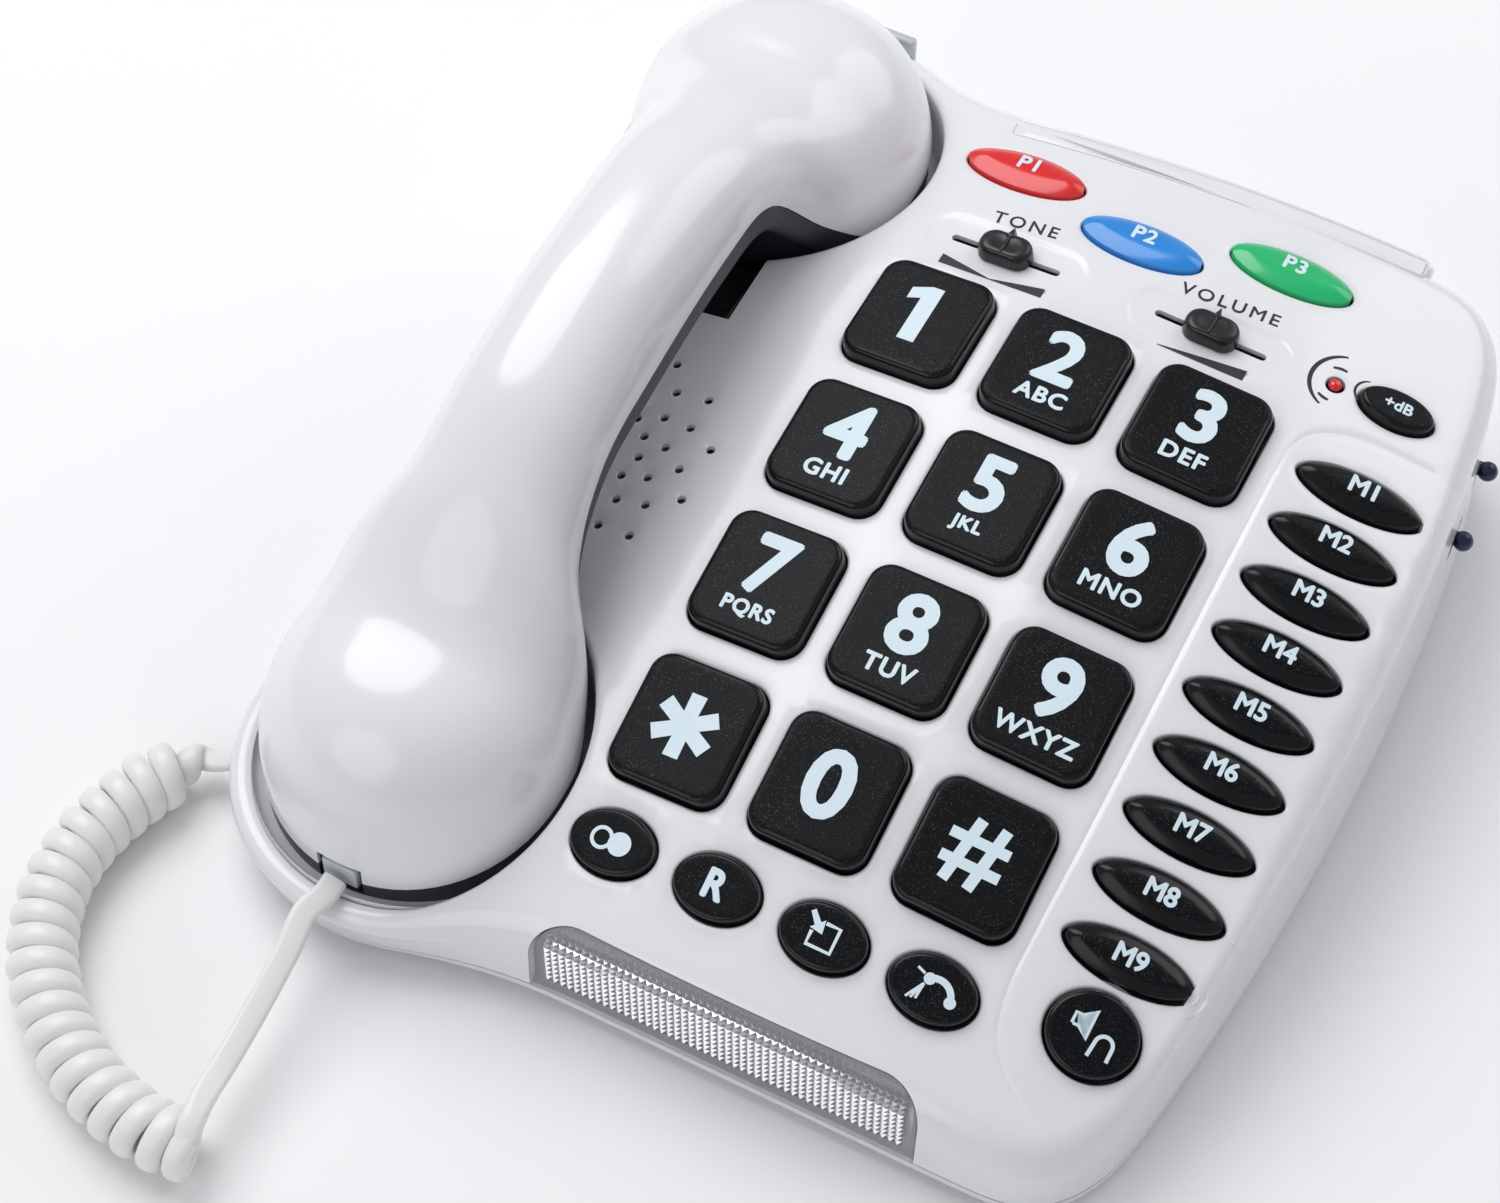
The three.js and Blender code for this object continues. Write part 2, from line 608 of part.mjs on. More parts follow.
const LIP_TOP = FLOOR_TOP + 4;
const lip = cut(
  baseBody(FLOOR_TOP - 0.5, LIP_TOP, WALL + 2 * GAP),
  baseBody(FLOOR_TOP - 1, LIP_TOP + 1, WALL + 2 * GAP + 1.5),
);
const FEET = [
  ['front_left', HANDSET_X, MOUTH_Y],
  ['front_right', RIGHT_EDGE - 26, FRONT_EDGE + 20],
  ['rear_left', HANDSET_X, EAR_Y + 12],
  ['rear_right', RIGHT_EDGE - 26, REAR_EDGE - 22],
];
const FOOT_RADIUS = 7;
add('base_lower_housing', cut(
  join(baseBody(FOOT_HEIGHT, FLOOR_TOP, 0), lip),
  jackBlock(jackOuter[0] + 6, 12, -jackOuter[1] - 1, 12, jackFrame.clone().setPosition(
    jackFrame.elements[12], jackFrame.elements[13], FLOOR_TOP + 6)),
  jackBlock(jackOuter[0] + 2, 12, -jackOuter[1] - 1, 12, lineJackFrame.clone().setPosition(
    LINE_JACK_X, REAR_EDGE - 1.5, FLOOR_TOP + 6)),
  box(LENS_LEFT - 1, LENS_RIGHT + 1, FRONT_EDGE - 1, FRONT_EDGE + 9, FLOOR_TOP, LIP_TOP + 2),
  ...FEET.map(([, x, y]) => cylinder(x, y, 0, FOOT_HEIGHT + 1, FOOT_RADIUS + GAP, 16)),
), WHITE, 0.4);

for (const [name, x, y] of FEET) {
  add(`foot_${name}`, cylinder(x, y, 0, FOOT_HEIGHT + 1 - GAP, FOOT_RADIUS, 16), CHARCOAL, 0.8);
}

// ---------------------------------------------------------------- inside the base

const trayFront = FRONT_EDGE + WALL + 1.6;
add('alert_reflector', cut(
  box(LENS_LEFT + 2, LENS_RIGHT - 2, trayFront, trayFront + 5, FLOOR_TOP + 0.5, LOBE_RIM + 3),
  box(LENS_LEFT + 3.2, LENS_RIGHT - 3.2, trayFront - 1, trayFront + 3.8, FLOOR_TOP + 1.7, LOBE_RIM + 1.8),
), 0xc9ccd0, 0.3, { metalness: 0.8 });

const boardLeft = HANDSET_X + EAR_WELL + WALL + 1.5;
const boardRight = MEMORY_X + 7;
const boardRear = PRESET_Y - 1;
const boardFront = FUNCTION_Y - 4.5;
function sheet(name, top, thick, inset, colour) {
  const geometry = new THREE.BoxGeometry(
    boardRight - boardLeft - 2 * inset, boardRear - boardFront - 2 * inset, thick);
  const mesh = add(name, geometry, colour, 0.6, { parent: panel });
  mesh.position.set((boardLeft + boardRight) / 2, (boardFront + boardRear) / 2, top - thick / 2);
}
sheet('keypad_contact_mat', MAT_TOP, MAT_THICK, 1, 0x9a9da1);
sheet('main_circuit_board', BOARD_TOP, BOARD_THICK, 0, 0x1d5b34);

const SPEAKER_RADIUS = 22;
const SPEAKER_PLACE = [HANDSET_X + 4, 1];
const [speakerX, speakerY] = SPEAKER_PLACE;
const speakerTop = Math.min(
  baseTop(speakerX - SPEAKER_RADIUS, speakerY - SPEAKER_RADIUS),
  baseTop(speakerX + SPEAKER_RADIUS, speakerY - SPEAKER_RADIUS)) - WALL - 1.5;
const speakerProfile = [
  [0, 0], [12, 0], [12, 6], [SPEAKER_RADIUS - 2, 10], [SPEAKER_RADIUS, 13], [SPEAKER_RADIUS, 15], [0, 15],
];
add('loudspeaker', new THREE.LatheGeometry(speakerProfile.map(([r, z]) => new THREE.Vector2(r, z)), 20)
  .rotateX(Math.PI / 2)
  .translate(speakerX, speakerY, speakerTop - 15), 0x2a2b2d, 0.6);

add('hook_switch_plunger', join(
  box(HOOK_X - HOOK_HALF, HOOK_X + HOOK_HALF, HOOK_FRONT, hookStep, EAR_FLOOR - 12, hookTop),
  box(HOOK_X - HOOK_HALF, HOOK_X + HOOK_HALF, hookStep - 1, HOOK_BACK, EAR_FLOOR - 7, EAR_FLOOR),
), BLACK, 0.4);

const ledTop = 0.8;
add('boost_led', solid(
  loft([[-6, 1.8], [0, 1.8], [ledTop, 1]].map(([z, radius]) => atHeight(oval(2 * radius, 2 * radius, 10)(0), z))),
  panel.matrix.clone().multiply(new THREE.Matrix4().makeTranslation(...LED, crown(...LED))),
), 0xb01018, 0.2);

add('base_cord_jack', jackSolid(jackFrame), 0x2b2d30, 0.5);
add('line_jack', jackSolid(lineJackFrame), 0x2b2d30, 0.5);
add('handset_wall_hook', box(
  tabX - HOOK_TAB[0] / 2, tabX + HOOK_TAB[0] / 2, tabY, tabY + HOOK_TAB[1], tabTop - HOOK_TAB[2], tabTop,
), 0xc6cbd2, 0.3);

// Side switches: a nub outside, a neck through the slot and a slide inside the wall
function rightWall(y, z) {
  const outline = baseOutline(z);
  let reach = 0;
  outline.forEach((a, i) => {
    const b = outline[(i + 1) % outline.length];
    if ((a.y - y) * (b.y - y) <= 0 && a.y !== b.y) {
      reach = Math.max(reach, a.x + ((b.x - a.x) * (y - a.y)) / (b.y - a.y));
    }
  });
  return reach;
}
['ringer_volume_switch', 'ringer_pitch_switch'].forEach((name, i) => {
  const y = SIDE_Y + (0.5 - i) * SIDE_PITCH;
  const wallX = Math.max(rightWall(y - SIDE_TRAVEL, SIDE_HEIGHT), rightWall(y + SIDE_TRAVEL, SIDE_HEIGHT));
  const insideX = Math.min(rightWall(y - 7, SIDE_HEIGHT), rightWall(y + 7, SIDE_HEIGHT)) - WALL - 1;
  add(name, join(
    box(insideX - 2, insideX, y - 3.5, y + 3.5, SIDE_HEIGHT - 3, SIDE_HEIGHT + 3),
    box(insideX - 1, wallX + 1, y - 1.3, y + 1.3, SIDE_HEIGHT - 1.2, SIDE_HEIGHT + 1.2),
    solid(new THREE.SphereGeometry(SIDE_NUB, 10, 6).translate(wallX + SIDE_NUB / 2, y, SIDE_HEIGHT)),
  ), 0x141c33, 0.35);
});

// ---------------------------------------------------------------- handset

// Smooth curve through [place, value] pairs
function curveThrough(pairs) {
  return (place) => {
    const last = pairs.length - 1;
    if (place <= pairs[0][0]) return pairs[0][1];
    if (place >= pairs[last][0]) return pairs[last][1];
    const i = pairs.findIndex((pair) => pair[0] > place) - 1;
    const [[x0, y0], [x1, y1]] = [pairs[i], pairs[i + 1]];
    const slope = (k) => (k <= 0 || k >= last ? 0
      : (pairs[k + 1][1] - pairs[k - 1][1]) / (pairs[k + 1][0] - pairs[k - 1][0]));
    const t = (place - x0) / (x1 - x0);
    const [t2, t3, span] = [t * t, t * t * t, x1 - x0];
    return (2 * t3 - 3 * t2 + 1) * y0 + (t3 - 2 * t2 + t) * span * slope(i)
      + (3 * t2 - 2 * t3) * y1 + (t3 - t2) * span * slope(i + 1);
  };
}

// Along the handset: 0 at the mouth cup's centre, 1 at the ear cup's
const halfWidth = curveThrough([
  [0, MOUTH_RADIUS], [0.12, 0.86 * MOUTH_RADIUS], [0.2, 1.2 * HANDLE_HALF], [0.3, 1.03 * HANDLE_HALF],
  [0.42, HANDLE_HALF], [0.7, HANDLE_HALF], [0.77, 1.06 * HANDLE_HALF], [0.83, 0.66 * EAR_RADIUS],
  [0.88, 0.84 * EAR_RADIUS], [0.94, 0.96 * EAR_RADIUS], [1, EAR_RADIUS],
]);
const seamRise = curveThrough([
  [0, 0], [0.07, 0], [0.2, 0.7 * HANDLE_ARCH], [0.3, HANDLE_ARCH], [0.45, 1.05 * HANDLE_ARCH],
  [0.65, HANDLE_ARCH], [0.76, 0.86 * HANDLE_ARCH], [0.85, 0.3 * HANDLE_ARCH], [0.92, 0], [1, 0],
]);
const crestRise = curveThrough([
  [0, 30], [0.17, 44.5], [0.28, 52], [0.42, 54.5], [0.52, 53.5], [0.69, 48.5], [0.82, 40], [1, 28.5],
]);

const crestPower = 2.3;
function handsetAt(y) {
  const along = (y - MOUTH_Y) / CUP_SPACING;
  const past = along < 0 ? -along * CUP_SPACING / MOUTH_RADIUS : Math.max(0, along - 1) * CUP_SPACING / EAR_RADIUS;
  const between = THREE.MathUtils.clamp(along, 0, 1);
  const line = THREE.MathUtils.lerp(MOUTH_SEAM, EAR_SEAM, between);
  const seam = line + seamRise(between) - (along < 0 ? MOUTH_FRONT_DROP * past : 0);
  const fade = Math.max(1 - past ** crestPower, 0.001) ** (1 / crestPower);
  return {
    half: halfWidth(between) * Math.sqrt(Math.max(1 - past * past, 0.001)),
    seam,
    crest: seam + (line + crestRise(between) - seam) * fade,
  };
}

// Places along the handset, closer together at its round ends
function handsetStations(inset) {
  const places = [];
  for (let i = 0; i < 6; i++) {
    places.push(MOUTH_Y - (MOUTH_RADIUS - inset) * Math.cos((i * Math.PI) / 12));
  }
  for (let i = 0; i <= 20; i++) places.push(MOUTH_Y + (CUP_SPACING * i) / 20);
  for (let i = 5; i >= 0; i--) {
    places.push(EAR_Y + (EAR_RADIUS - inset) * Math.cos((i * Math.PI) / 12));
  }
  return places;
}

const ARC_STEPS = 12;
function outerRing(y, inset, drop) {
  const station = handsetAt(y);
  const half = Math.max(station.half - inset, 0.4);
  const rise = Math.max(station.crest - station.seam - inset, 0.4);
  const ring = [];
  for (let i = 0; i <= ARC_STEPS; i++) {
    const angle = (Math.PI * i) / ARC_STEPS;
    const across = Math.sign(Math.cos(angle)) * Math.abs(Math.cos(angle)) ** 0.9;
    ring.push(new THREE.Vector3(HANDSET_X - half * across, y, station.seam + rise * Math.sin(angle) ** 0.9));
  }
  ring.push(new THREE.Vector3(HANDSET_X + half, y, station.seam - drop));
  ring.push(new THREE.Vector3(HANDSET_X - half, y, station.seam - drop));
  return ring;
}

const shrink = 0.985; // keeps the first and last rings a little short of a point
function handsetLoft(ringAt, inset) {
  const middle = (MOUTH_Y + EAR_Y) / 2;
  const places = handsetStations(inset);
  places[0] = middle + (places[0] - middle) * (1 - (1 - shrink) / 4);
  places[places.length - 1] = middle + (places[places.length - 1] - middle) * (1 - (1 - shrink) / 4);
  return solid(loft(places.map(ringAt)));
}

const plugY = MOUTH_Y - MOUTH_RADIUS + 1.2;
const plugZ = MOUTH_SEAM - MOUTH_FRONT_DROP + 0.6;
const handsetJackFrame = new THREE.Matrix4().makeRotationZ(Math.PI).setPosition(HANDSET_X, plugY, plugZ);
const handsetNotch = jackBlock(
  jackOuter[0] + 2 * GAP, jackOuter[2] + 2 * GAP, -jackOuter[1] - GAP, 12, handsetJackFrame);

// Where the handset can be: in the wells, or a little above the base's top
const wellRoom = join(...wells, belowTop(-200).subtract(belowTop(-0.6)));

add('handset_outer_shell', cut(
  handsetLoft((y) => outerRing(y, 0, 0.01), 0).intersect(wellRoom),
  handsetLoft((y) => outerRing(y, SHELL, 6), SHELL),
  handsetNotch,
), WHITE, 0.2);

// Inner shell: a shallow tray under the handle, with a round cup at each end
function underRing(y, inset, depth, lift) {
  const station = handsetAt(y);
  const half = Math.max(station.half - 0.8 - inset, 0.3);
  const top = station.seam - GAP + lift;
  const low = station.seam - GAP - depth;
  const foot = Math.max(half - 3, 0.2);
  return [[-half, top], [half, top], [half, low + 0.5 * depth], [foot, low], [-foot, low], [-half, low + 0.5 * depth]]
    .reverse()
    .map(([x, z]) => new THREE.Vector3(HANDSET_X + x, y, z));
}
const belowSeam = (inset, lift) => handsetLoft((y) => underRing(y, inset, 80, lift), inset);
function cups(inset) {
  const cup = (y, radius, floor) => cylinder(HANDSET_X, y, floor + GAP + inset, EAR_SEAM + 20, radius - 1.2 - inset);
  return join(cup(MOUTH_Y, MOUTH_RADIUS, MOUTH_FLOOR), cup(EAR_Y, EAR_RADIUS, EAR_FLOOR));
}
const tray = (inset, lift) => join(
  handsetLoft((y) => underRing(y, inset, HANDLE_UNDER - inset, lift), inset),
  cups(inset).intersect(belowSeam(inset, lift)),
);
add('handset_inner_shell', cut(
  tray(0, 0).intersect(wellRoom),
  tray(SHELL, 3),
  handsetNotch,
), CHARCOAL, 0.4);

const capsule = (y, floor, radius, height) => cylinder(
  HANDSET_X, y, floor + GAP + SHELL + GAP, floor + GAP + SHELL + GAP + height, radius, 20);
add('receiver_capsule', capsule(EAR_Y, EAR_FLOOR, 19, 8), 0x3a3c3f, 0.5);
add('microphone_capsule', capsule(MOUTH_Y + 6, MOUTH_FLOOR, 7, 5), 0x3a3c3f, 0.5);
add('handset_cord_jack', jackSolid(handsetJackFrame), 0x2b2d30, 0.5);

// ---------------------------------------------------------------- handset cord

function plugSolid(frame) {
  return jackBlock(PLUG[0], PLUG[2] - 0.3, -PLUG[1] + 1.2, 1.2, frame);
}
add('plug_handset', plugSolid(handsetJackFrame), CLEAR, 0.1, { opacity: 0.5 });
add('plug_base', plugSolid(jackFrame), CLEAR, 0.1, { opacity: 0.5 });

function cordTube(points, steps, section) {
  const path = new THREE.CatmullRomCurve3(points.map((point) => new THREE.Vector3(...point)), false, 'centripetal');
  return new THREE.ExtrudeGeometry(section, { steps, bevelEnabled: false, extrudePath: path });
}

function ellipseSection(width, height, sides) {
  return new THREE.Shape(oval(width, height, sides)(0));
}

const plugFace = new THREE.Vector3(0, 1.2 + GAP, 0).applyMatrix4(handsetJackFrame);
const basePlugFace = new THREE.Vector3(0, 1.2 + 2 * GAP, 0).applyMatrix4(jackFrame);
const COIL_Z = COIL_DIAMETER / 2 + 0.1;

// The coil lies on the desk in a loose hook in front of the mouth lobe
const coilRoute = [
  [-77.5, -153, COIL_Z], [-87, -153.6, COIL_Z], [-100, -151, COIL_Z], [-113.5, -144, COIL_Z],
  [-124.5, -133.5, COIL_Z], [-131, -121, COIL_Z], [-132.8, -108, COIL_Z], [-130.6, -95.5, COIL_Z],
  [-127.2, -86.5, COIL_Z], [-122.6, -79.2, COIL_Z],
];
add('coil', cordTube(coilRoute, 36, ellipseSection(COIL_DIAMETER, COIL_DIAMETER, 8)), 0xe6e3dc, 0.45);

const leadRoute = [
  [plugFace.x, plugFace.y, plugFace.z], [plugFace.x + 0.2, plugFace.y - 4, plugFace.z + 0.3],
  [-81.8, -103.5, 18.8], [-80.6, -113, 17], [-80.2, -122, 14.4], [-80, -130.5, 12.6],
  [-79.4, -138.5, 12.2], [-78.6, -145.4, 13.6],
];
add('lead_handset', cordTube(leadRoute, 18, ellipseSection(CORD_FLAT[1], CORD_FLAT[0], 8)), 0xe6e3dc, 0.45);

const coilEnd = new THREE.Vector3(...coilRoute[coilRoute.length - 1]);
const coilOut = coilEnd.clone().sub(new THREE.Vector3(...coilRoute[coilRoute.length - 2])).normalize();
const leadStart = coilEnd.clone().addScaledVector(coilOut, GAP + 0.1);
const baseLead = [
  leadStart, leadStart.clone().addScaledVector(coilOut, 0.8), basePlugFace,
].map((point) => point.toArray());
add('lead_base', cordTube(baseLead, 4, ellipseSection(CORD_FLAT[1], CORD_FLAT[0], 8)), 0xe6e3dc, 0.45);

// ---------------------------------------------------------------- origin

const CORD_NAMES = new Set(['plug_handset', 'plug_base', 'lead_handset', 'coil', 'lead_base']);
group.updateMatrixWorld(true);
const extent = new THREE.Box3();
group.traverse((object) => {
  if (object.isMesh && !CORD_NAMES.has(object.name)) extent.expandByObject(object, true);
});
const centre = extent.getCenter(new THREE.Vector3());
group.position.set(-centre.x, -centre.y, -extent.min.z);
group.updateMatrixWorld(true);

export default group;
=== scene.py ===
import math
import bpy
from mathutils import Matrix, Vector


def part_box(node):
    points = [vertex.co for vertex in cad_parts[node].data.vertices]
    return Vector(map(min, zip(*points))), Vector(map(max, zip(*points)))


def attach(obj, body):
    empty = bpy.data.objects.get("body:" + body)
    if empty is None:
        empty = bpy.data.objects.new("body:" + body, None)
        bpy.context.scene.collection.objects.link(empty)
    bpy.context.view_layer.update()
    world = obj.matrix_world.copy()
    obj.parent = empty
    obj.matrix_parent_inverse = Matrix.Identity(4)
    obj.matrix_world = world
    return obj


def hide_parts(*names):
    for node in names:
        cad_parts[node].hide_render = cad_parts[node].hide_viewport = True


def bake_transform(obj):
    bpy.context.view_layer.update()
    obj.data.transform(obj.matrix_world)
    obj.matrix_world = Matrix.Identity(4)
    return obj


bl_info = {
    "name": "Large-key desk telephone",
    "version": (1, 0, 0),
    "blender": (4, 5, 0),
    "location": "View3D > Sidebar > Telephone",
    "description": "Makes the telephone's visible pieces and finishes over its packed frame",
    "category": "Object",
}

import bpy
import numpy as np
from bpy.props import FloatProperty, FloatVectorProperty, PointerProperty
from mathutils import Matrix, Vector
from mathutils.geometry import delaunay_2d_cdt

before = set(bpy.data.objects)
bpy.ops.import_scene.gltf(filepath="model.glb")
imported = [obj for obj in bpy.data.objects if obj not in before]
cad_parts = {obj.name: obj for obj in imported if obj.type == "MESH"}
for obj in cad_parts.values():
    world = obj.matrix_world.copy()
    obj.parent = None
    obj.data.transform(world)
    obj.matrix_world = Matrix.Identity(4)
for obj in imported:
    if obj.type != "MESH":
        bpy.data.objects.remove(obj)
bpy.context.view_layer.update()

# ---------------------------------------------------------------- places
# Shapes are worked out in millimetres from the middle of the twelve number keys, on the desk.
# place() turns them into metres in the frame.

MM = 0.001


def middle(node):
    low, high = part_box(node)
    return (low + high) / 2


EAR_Y = 86.0
CUP_SPACING = 150.0
MOUTH_Y = EAR_Y - CUP_SPACING
PLAN = Vector((middle("key_5").x, middle("receiver_capsule").y - EAR_Y * MM, 0))


def plan(node):
    return (middle(node) - PLAN) / MM


FEET = ("foot_front_left", "foot_front_right", "foot_rear_left", "foot_rear_right")
HANDSET_X = plan("receiver_capsule").x
MEMORY_X = plan("key_memory_5").x
RIGHT_EDGE = MEMORY_X + 19.7
FRONT_EDGE = -93.0
REAR_EDGE = 117.8

PANEL_TILT = math.radians(10)
PANEL_HEIGHT = 52.0
CROWN_X = 0.00139
CROWN_Y = 0.00125
LOBE_RIM = 15.4
SKIRT_BOTTOM = 5.6
WALL = 2.2
EAR_RADIUS = 31.6
MOUTH_RADIUS = 31.6
EAR_WELL = EAR_RADIUS + 2.4
MOUTH_WELL = MOUTH_RADIUS + 2.4
EAR_LOBE = EAR_WELL + 6.4
MOUTH_LOBE = MOUTH_WELL + 5.8
EAR_LOBE_SHIFT = 3.6
LOBE_UNDERCUT = 3.4
EAR_FLOOR = 36.0
MOUTH_FLOOR = 14.0
SIDE_DRAFT = 0.02
END_DRAFT = 0.05
SLIDER_X = 22.5
SLIDER_Y = 73.3
LED = (MEMORY_X - 14.2, SLIDER_Y + 1.1)
LENS_LEFT = HANDSET_X + 40
LENS_RIGHT = RIGHT_EDGE - 42
HOOK_X = HANDSET_X + 6.5
SIDE_HEIGHT = 27.0
HOLE_CENTRE = (HANDSET_X + 3, 1.0)


def place(points):
    """Millimetres from the middle of the keypad to metres in the frame."""
    return np.asarray(points, float) * MM + np.array(PLAN)


def crown(x, y):
    return -(CROWN_X * x * x + CROWN_Y * y * y)


def panel_point(u, v, w):
    """A place in the tilted panel's own directions, as a place over the desk."""
    sine, cosine = math.sin(PANEL_TILT), math.cos(PANEL_TILT)
    return np.stack([u + 0 * v, v * cosine - w * sine, PANEL_HEIGHT + v * sine + w * cosine], axis=-1)


def panel_top(x, y):
    sine, cosine = math.sin(PANEL_TILT), math.cos(PANEL_TILT)
    a = sine * CROWN_Y
    c = sine * CROWN_X * x * x - y
    along = (-cosine + np.sqrt(cosine * cosine - 4 * a * c)) / (2 * a)
    return along * sine + crown(x, along) * cosine + PANEL_HEIGHT


def base_top(x, y):
    """Height of the base's top, which levels out at the rim of the front lobe."""
    above = panel_top(x, y) - LOBE_RIM
    return LOBE_RIM + (above + np.sqrt(above * above + 4)) / 2


def panel_matrix(u, v, lift=0.0):
    """A frame in metres whose XY plane touches the panel's crown over a place on it."""
    x_axis = Vector((1, 0, -2 * CROWN_X * u)).normalized()
    y_axis = Vector((0, 1, -2 * CROWN_Y * v))
    z_axis = x_axis.cross(y_axis).normalized()
    y_axis = z_axis.cross(x_axis)
    turn = Matrix.Rotation(PANEL_TILT, 3, "X")
    axes = Matrix((turn @ x_axis, turn @ y_axis, turn @ z_axis)).transposed()
    origin = Vector(panel_point(u, v, crown(u, v))) + axes @ Vector((0, 0, lift))
    return Matrix.Translation(origin * MM + PLAN) @ axes.to_4x4()


# ---------------------------------------------------------------- mesh helpers


def deselect():
    if bpy.context.object and bpy.context.object.mode != "OBJECT":
        bpy.ops.object.mode_set(mode="OBJECT")
    bpy.ops.object.select_all(action="DESELECT")


def activate(piece):
    deselect()
    piece.select_set(True)
    bpy.context.view_layer.objects.active = piece


def apply_modifier(piece, kind, **settings):
    activate(piece)
    modifier = piece.modifiers.new(kind.title(), kind)
    for name, value in settings.items():
        setattr(modifier, name, value)
    bpy.ops.object.modifier_apply(modifier=modifier.name)


def smooth(piece, degrees=35):
    activate(piece)
    bpy.ops.object.shade_smooth_by_angle(angle=math.radians(degrees))


def settle(piece):
    """Puts the piece's place into its mesh."""
    piece.data.transform(piece.matrix_world)
    piece.matrix_world = Matrix.Identity(4)


def finished(piece, body, slot, *looks, replaces=(), angle=35):
    """Names the piece's finish and the body that it moves with."""
    if looks and not piece.data.materials:
        for look in looks:
            piece.data.materials.append(look)
    if angle:
        smooth(piece, angle)
    settle(piece)
    if body:
        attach(piece, body)
    if replaces:
        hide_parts(*replaces)
    return piece


class Skin:
    """Rings and sheets of points, in millimetres, that become one mesh."""

    def __init__(self):
        self.points = []
        self.faces = []

    def ring(self, points):
        start = len(self.points)
        self.points.extend(np.asarray(points, float).tolist())
        return list(range(start, len(self.points)))

    def bridge(self, rings, closed=True):
        indices = [self.ring(ring) for ring in rings]
        count = len(indices[0])
        for low, high in zip(indices, indices[1:]):
            for i in range(count if closed else count - 1):
                j = (i + 1) % count
                self.faces.append((low[i], low[j], high[j], high[i]))
        return indices

    def cap(self, ring, flip=False):
        self.faces.append(tuple(reversed(ring)) if flip else tuple(ring))

    def fill(self, boundary, holes, loose, height):
        """Triangles between a boundary ring and holes, through loose points."""
        corners, edges, heights = [], [], []
        for ring in [boundary] + holes:
            start = len(corners)
            corners.extend((float(p[0]), float(p[1])) for p in ring)
            heights.extend(float(p[2]) for p in ring)
            edges.extend((start + i, start + (i + 1) % len(ring)) for i in range(len(ring)))
        corners.extend((float(p[0]), float(p[1])) for p in loose)
        heights.extend([None] * len(loose))
        flat, _, triangles, origins, _, _ = delaunay_2d_cdt(
            [Vector(c) for c in corners], edges, [], 0, 1e-6, True)
        flat = np.array([tuple(p) for p in flat])
        levels = height(flat[:, 0], flat[:, 1])
        for i, origin in enumerate(origins):
            known = [heights[o] for o in origin if heights[o] is not None]
            if known:
                levels[i] = known[0]
        centres = np.array([flat[list(t)].mean(0) for t in triangles])
        keep = inside(centres, boundary)
        for hole in holes:
            keep &= ~inside(centres, hole)
        indices = self.ring(np.column_stack([flat, levels]))
        for triangle, kept in zip(triangles, keep):
            if kept:
                self.faces.append(tuple(indices[i] for i in triangle))

    def piece(self, name, merge=0.002):
        mesh = bpy.data.meshes.new(name)
        mesh.from_pydata(place(self.points).tolist(), [], self.faces)
        mesh.update()
        piece = bpy.data.objects.new(name, mesh)
        bpy.context.scene.collection.objects.link(piece)
        activate(piece)
        bpy.ops.object.mode_set(mode="EDIT")
        bpy.ops.mesh.select_all(action="SELECT")
        bpy.ops.mesh.remove_doubles(threshold=merge * MM)
        bpy.ops.mesh.normals_make_consistent(inside=False)
        bpy.ops.object.mode_set(mode="OBJECT")
        return piece


def inside(points, ring):
    """Which places lie inside a closed ring, seen from above."""
    x, y = points[:, 0], points[:, 1]
    ring = np.asarray(ring)[:, :2]
    result = np.zeros(len(points), bool)
    low, high = ring.min(0), ring.max(0)
    near = np.nonzero((x > low[0]) & (x < high[0]) & (y > low[1]) & (y < high[1]))[0]
    for (x0, y0), (x1, y1) in zip(ring, np.roll(ring, -1, 0)):
        if y0 == y1:
            continue
        crosses = (y0 > y[near]) != (y1 > y[near])
        reach = x0 + (x1 - x0) * (y[near] - y0) / (y1 - y0)
        result[near] ^= crosses & (x[near] < reach)
    return result


def distance_to(points, path, closed=False):
    """Shortest distance from each place to a line of points, seen from above."""
    points = np.asarray(points, float)[:, :2]
    path = np.asarray(path, float)[:, :2]
    starts = path if closed else path[:-1]
    ends = np.roll(path, -1, 0) if closed else path[1:]
    best = np.full(len(points), 1e9)
    for a, b in zip(starts, ends):
        span = b - a
        share = np.clip(((points - a) @ span) / max(span @ span, 1e-9), 0, 1)
        best = np.minimum(best, np.linalg.norm(points - a - share[:, None] * span, axis=1))
    return best


def circle(x, y, radius, count=48):
    angles = np.arange(count) * 2 * math.pi / count
    return np.stack([x + radius * np.cos(angles), y + radius * np.sin(angles)], axis=-1)


def rounded_rectangle(width, depth, corner, outset=0.0, steps=8):
    radius = max(corner + outset, 0.4)
    x, y = width / 2 + outset - radius, depth / 2 + outset - radius
    points = []
    for sx, sy, start in ((1, -1, -90), (1, 1, 0), (-1, 1, 90), (-1, -1, 180)):
        for angle in np.radians(start + np.linspace(0, 90, steps)):
            points.append((sx * x + radius * math.cos(angle), sy * y + radius * math.sin(angle)))
    return np.array(points)


def oval(width, depth, outset=0.0, point=1.0, count=48):
    angles = np.arange(count) * 2 * math.pi / count
    rise = np.sign(np.sin(angles)) * np.abs(np.sin(angles)) ** point
    return np.stack([(width / 2 + outset) * np.cos(angles), (depth / 2 + outset) * rise], axis=-1)


def curve_through(pairs):
    """Smooth curve through places and values."""
    places, values = np.array(pairs, float).T
    slopes = np.zeros(len(pairs))
    slopes[1:-1] = (values[2:] - values[:-2]) / (places[2:] - places[:-2])

    def value(place_on):
        place_on = np.clip(place_on, places[0], places[-1])
        i = np.clip(np.searchsorted(places, place_on, side="right") - 1, 0, len(places) - 2)
        span = places[i + 1] - places[i]
        t = (place_on - places[i]) / span
        return ((2 * t**3 - 3 * t**2 + 1) * values[i] + (t**3 - 2 * t**2 + t) * span * slopes[i]
                + (3 * t**2 - 2 * t**3) * values[i + 1] + (t**3 - t**2) * span * slopes[i + 1])

    return value


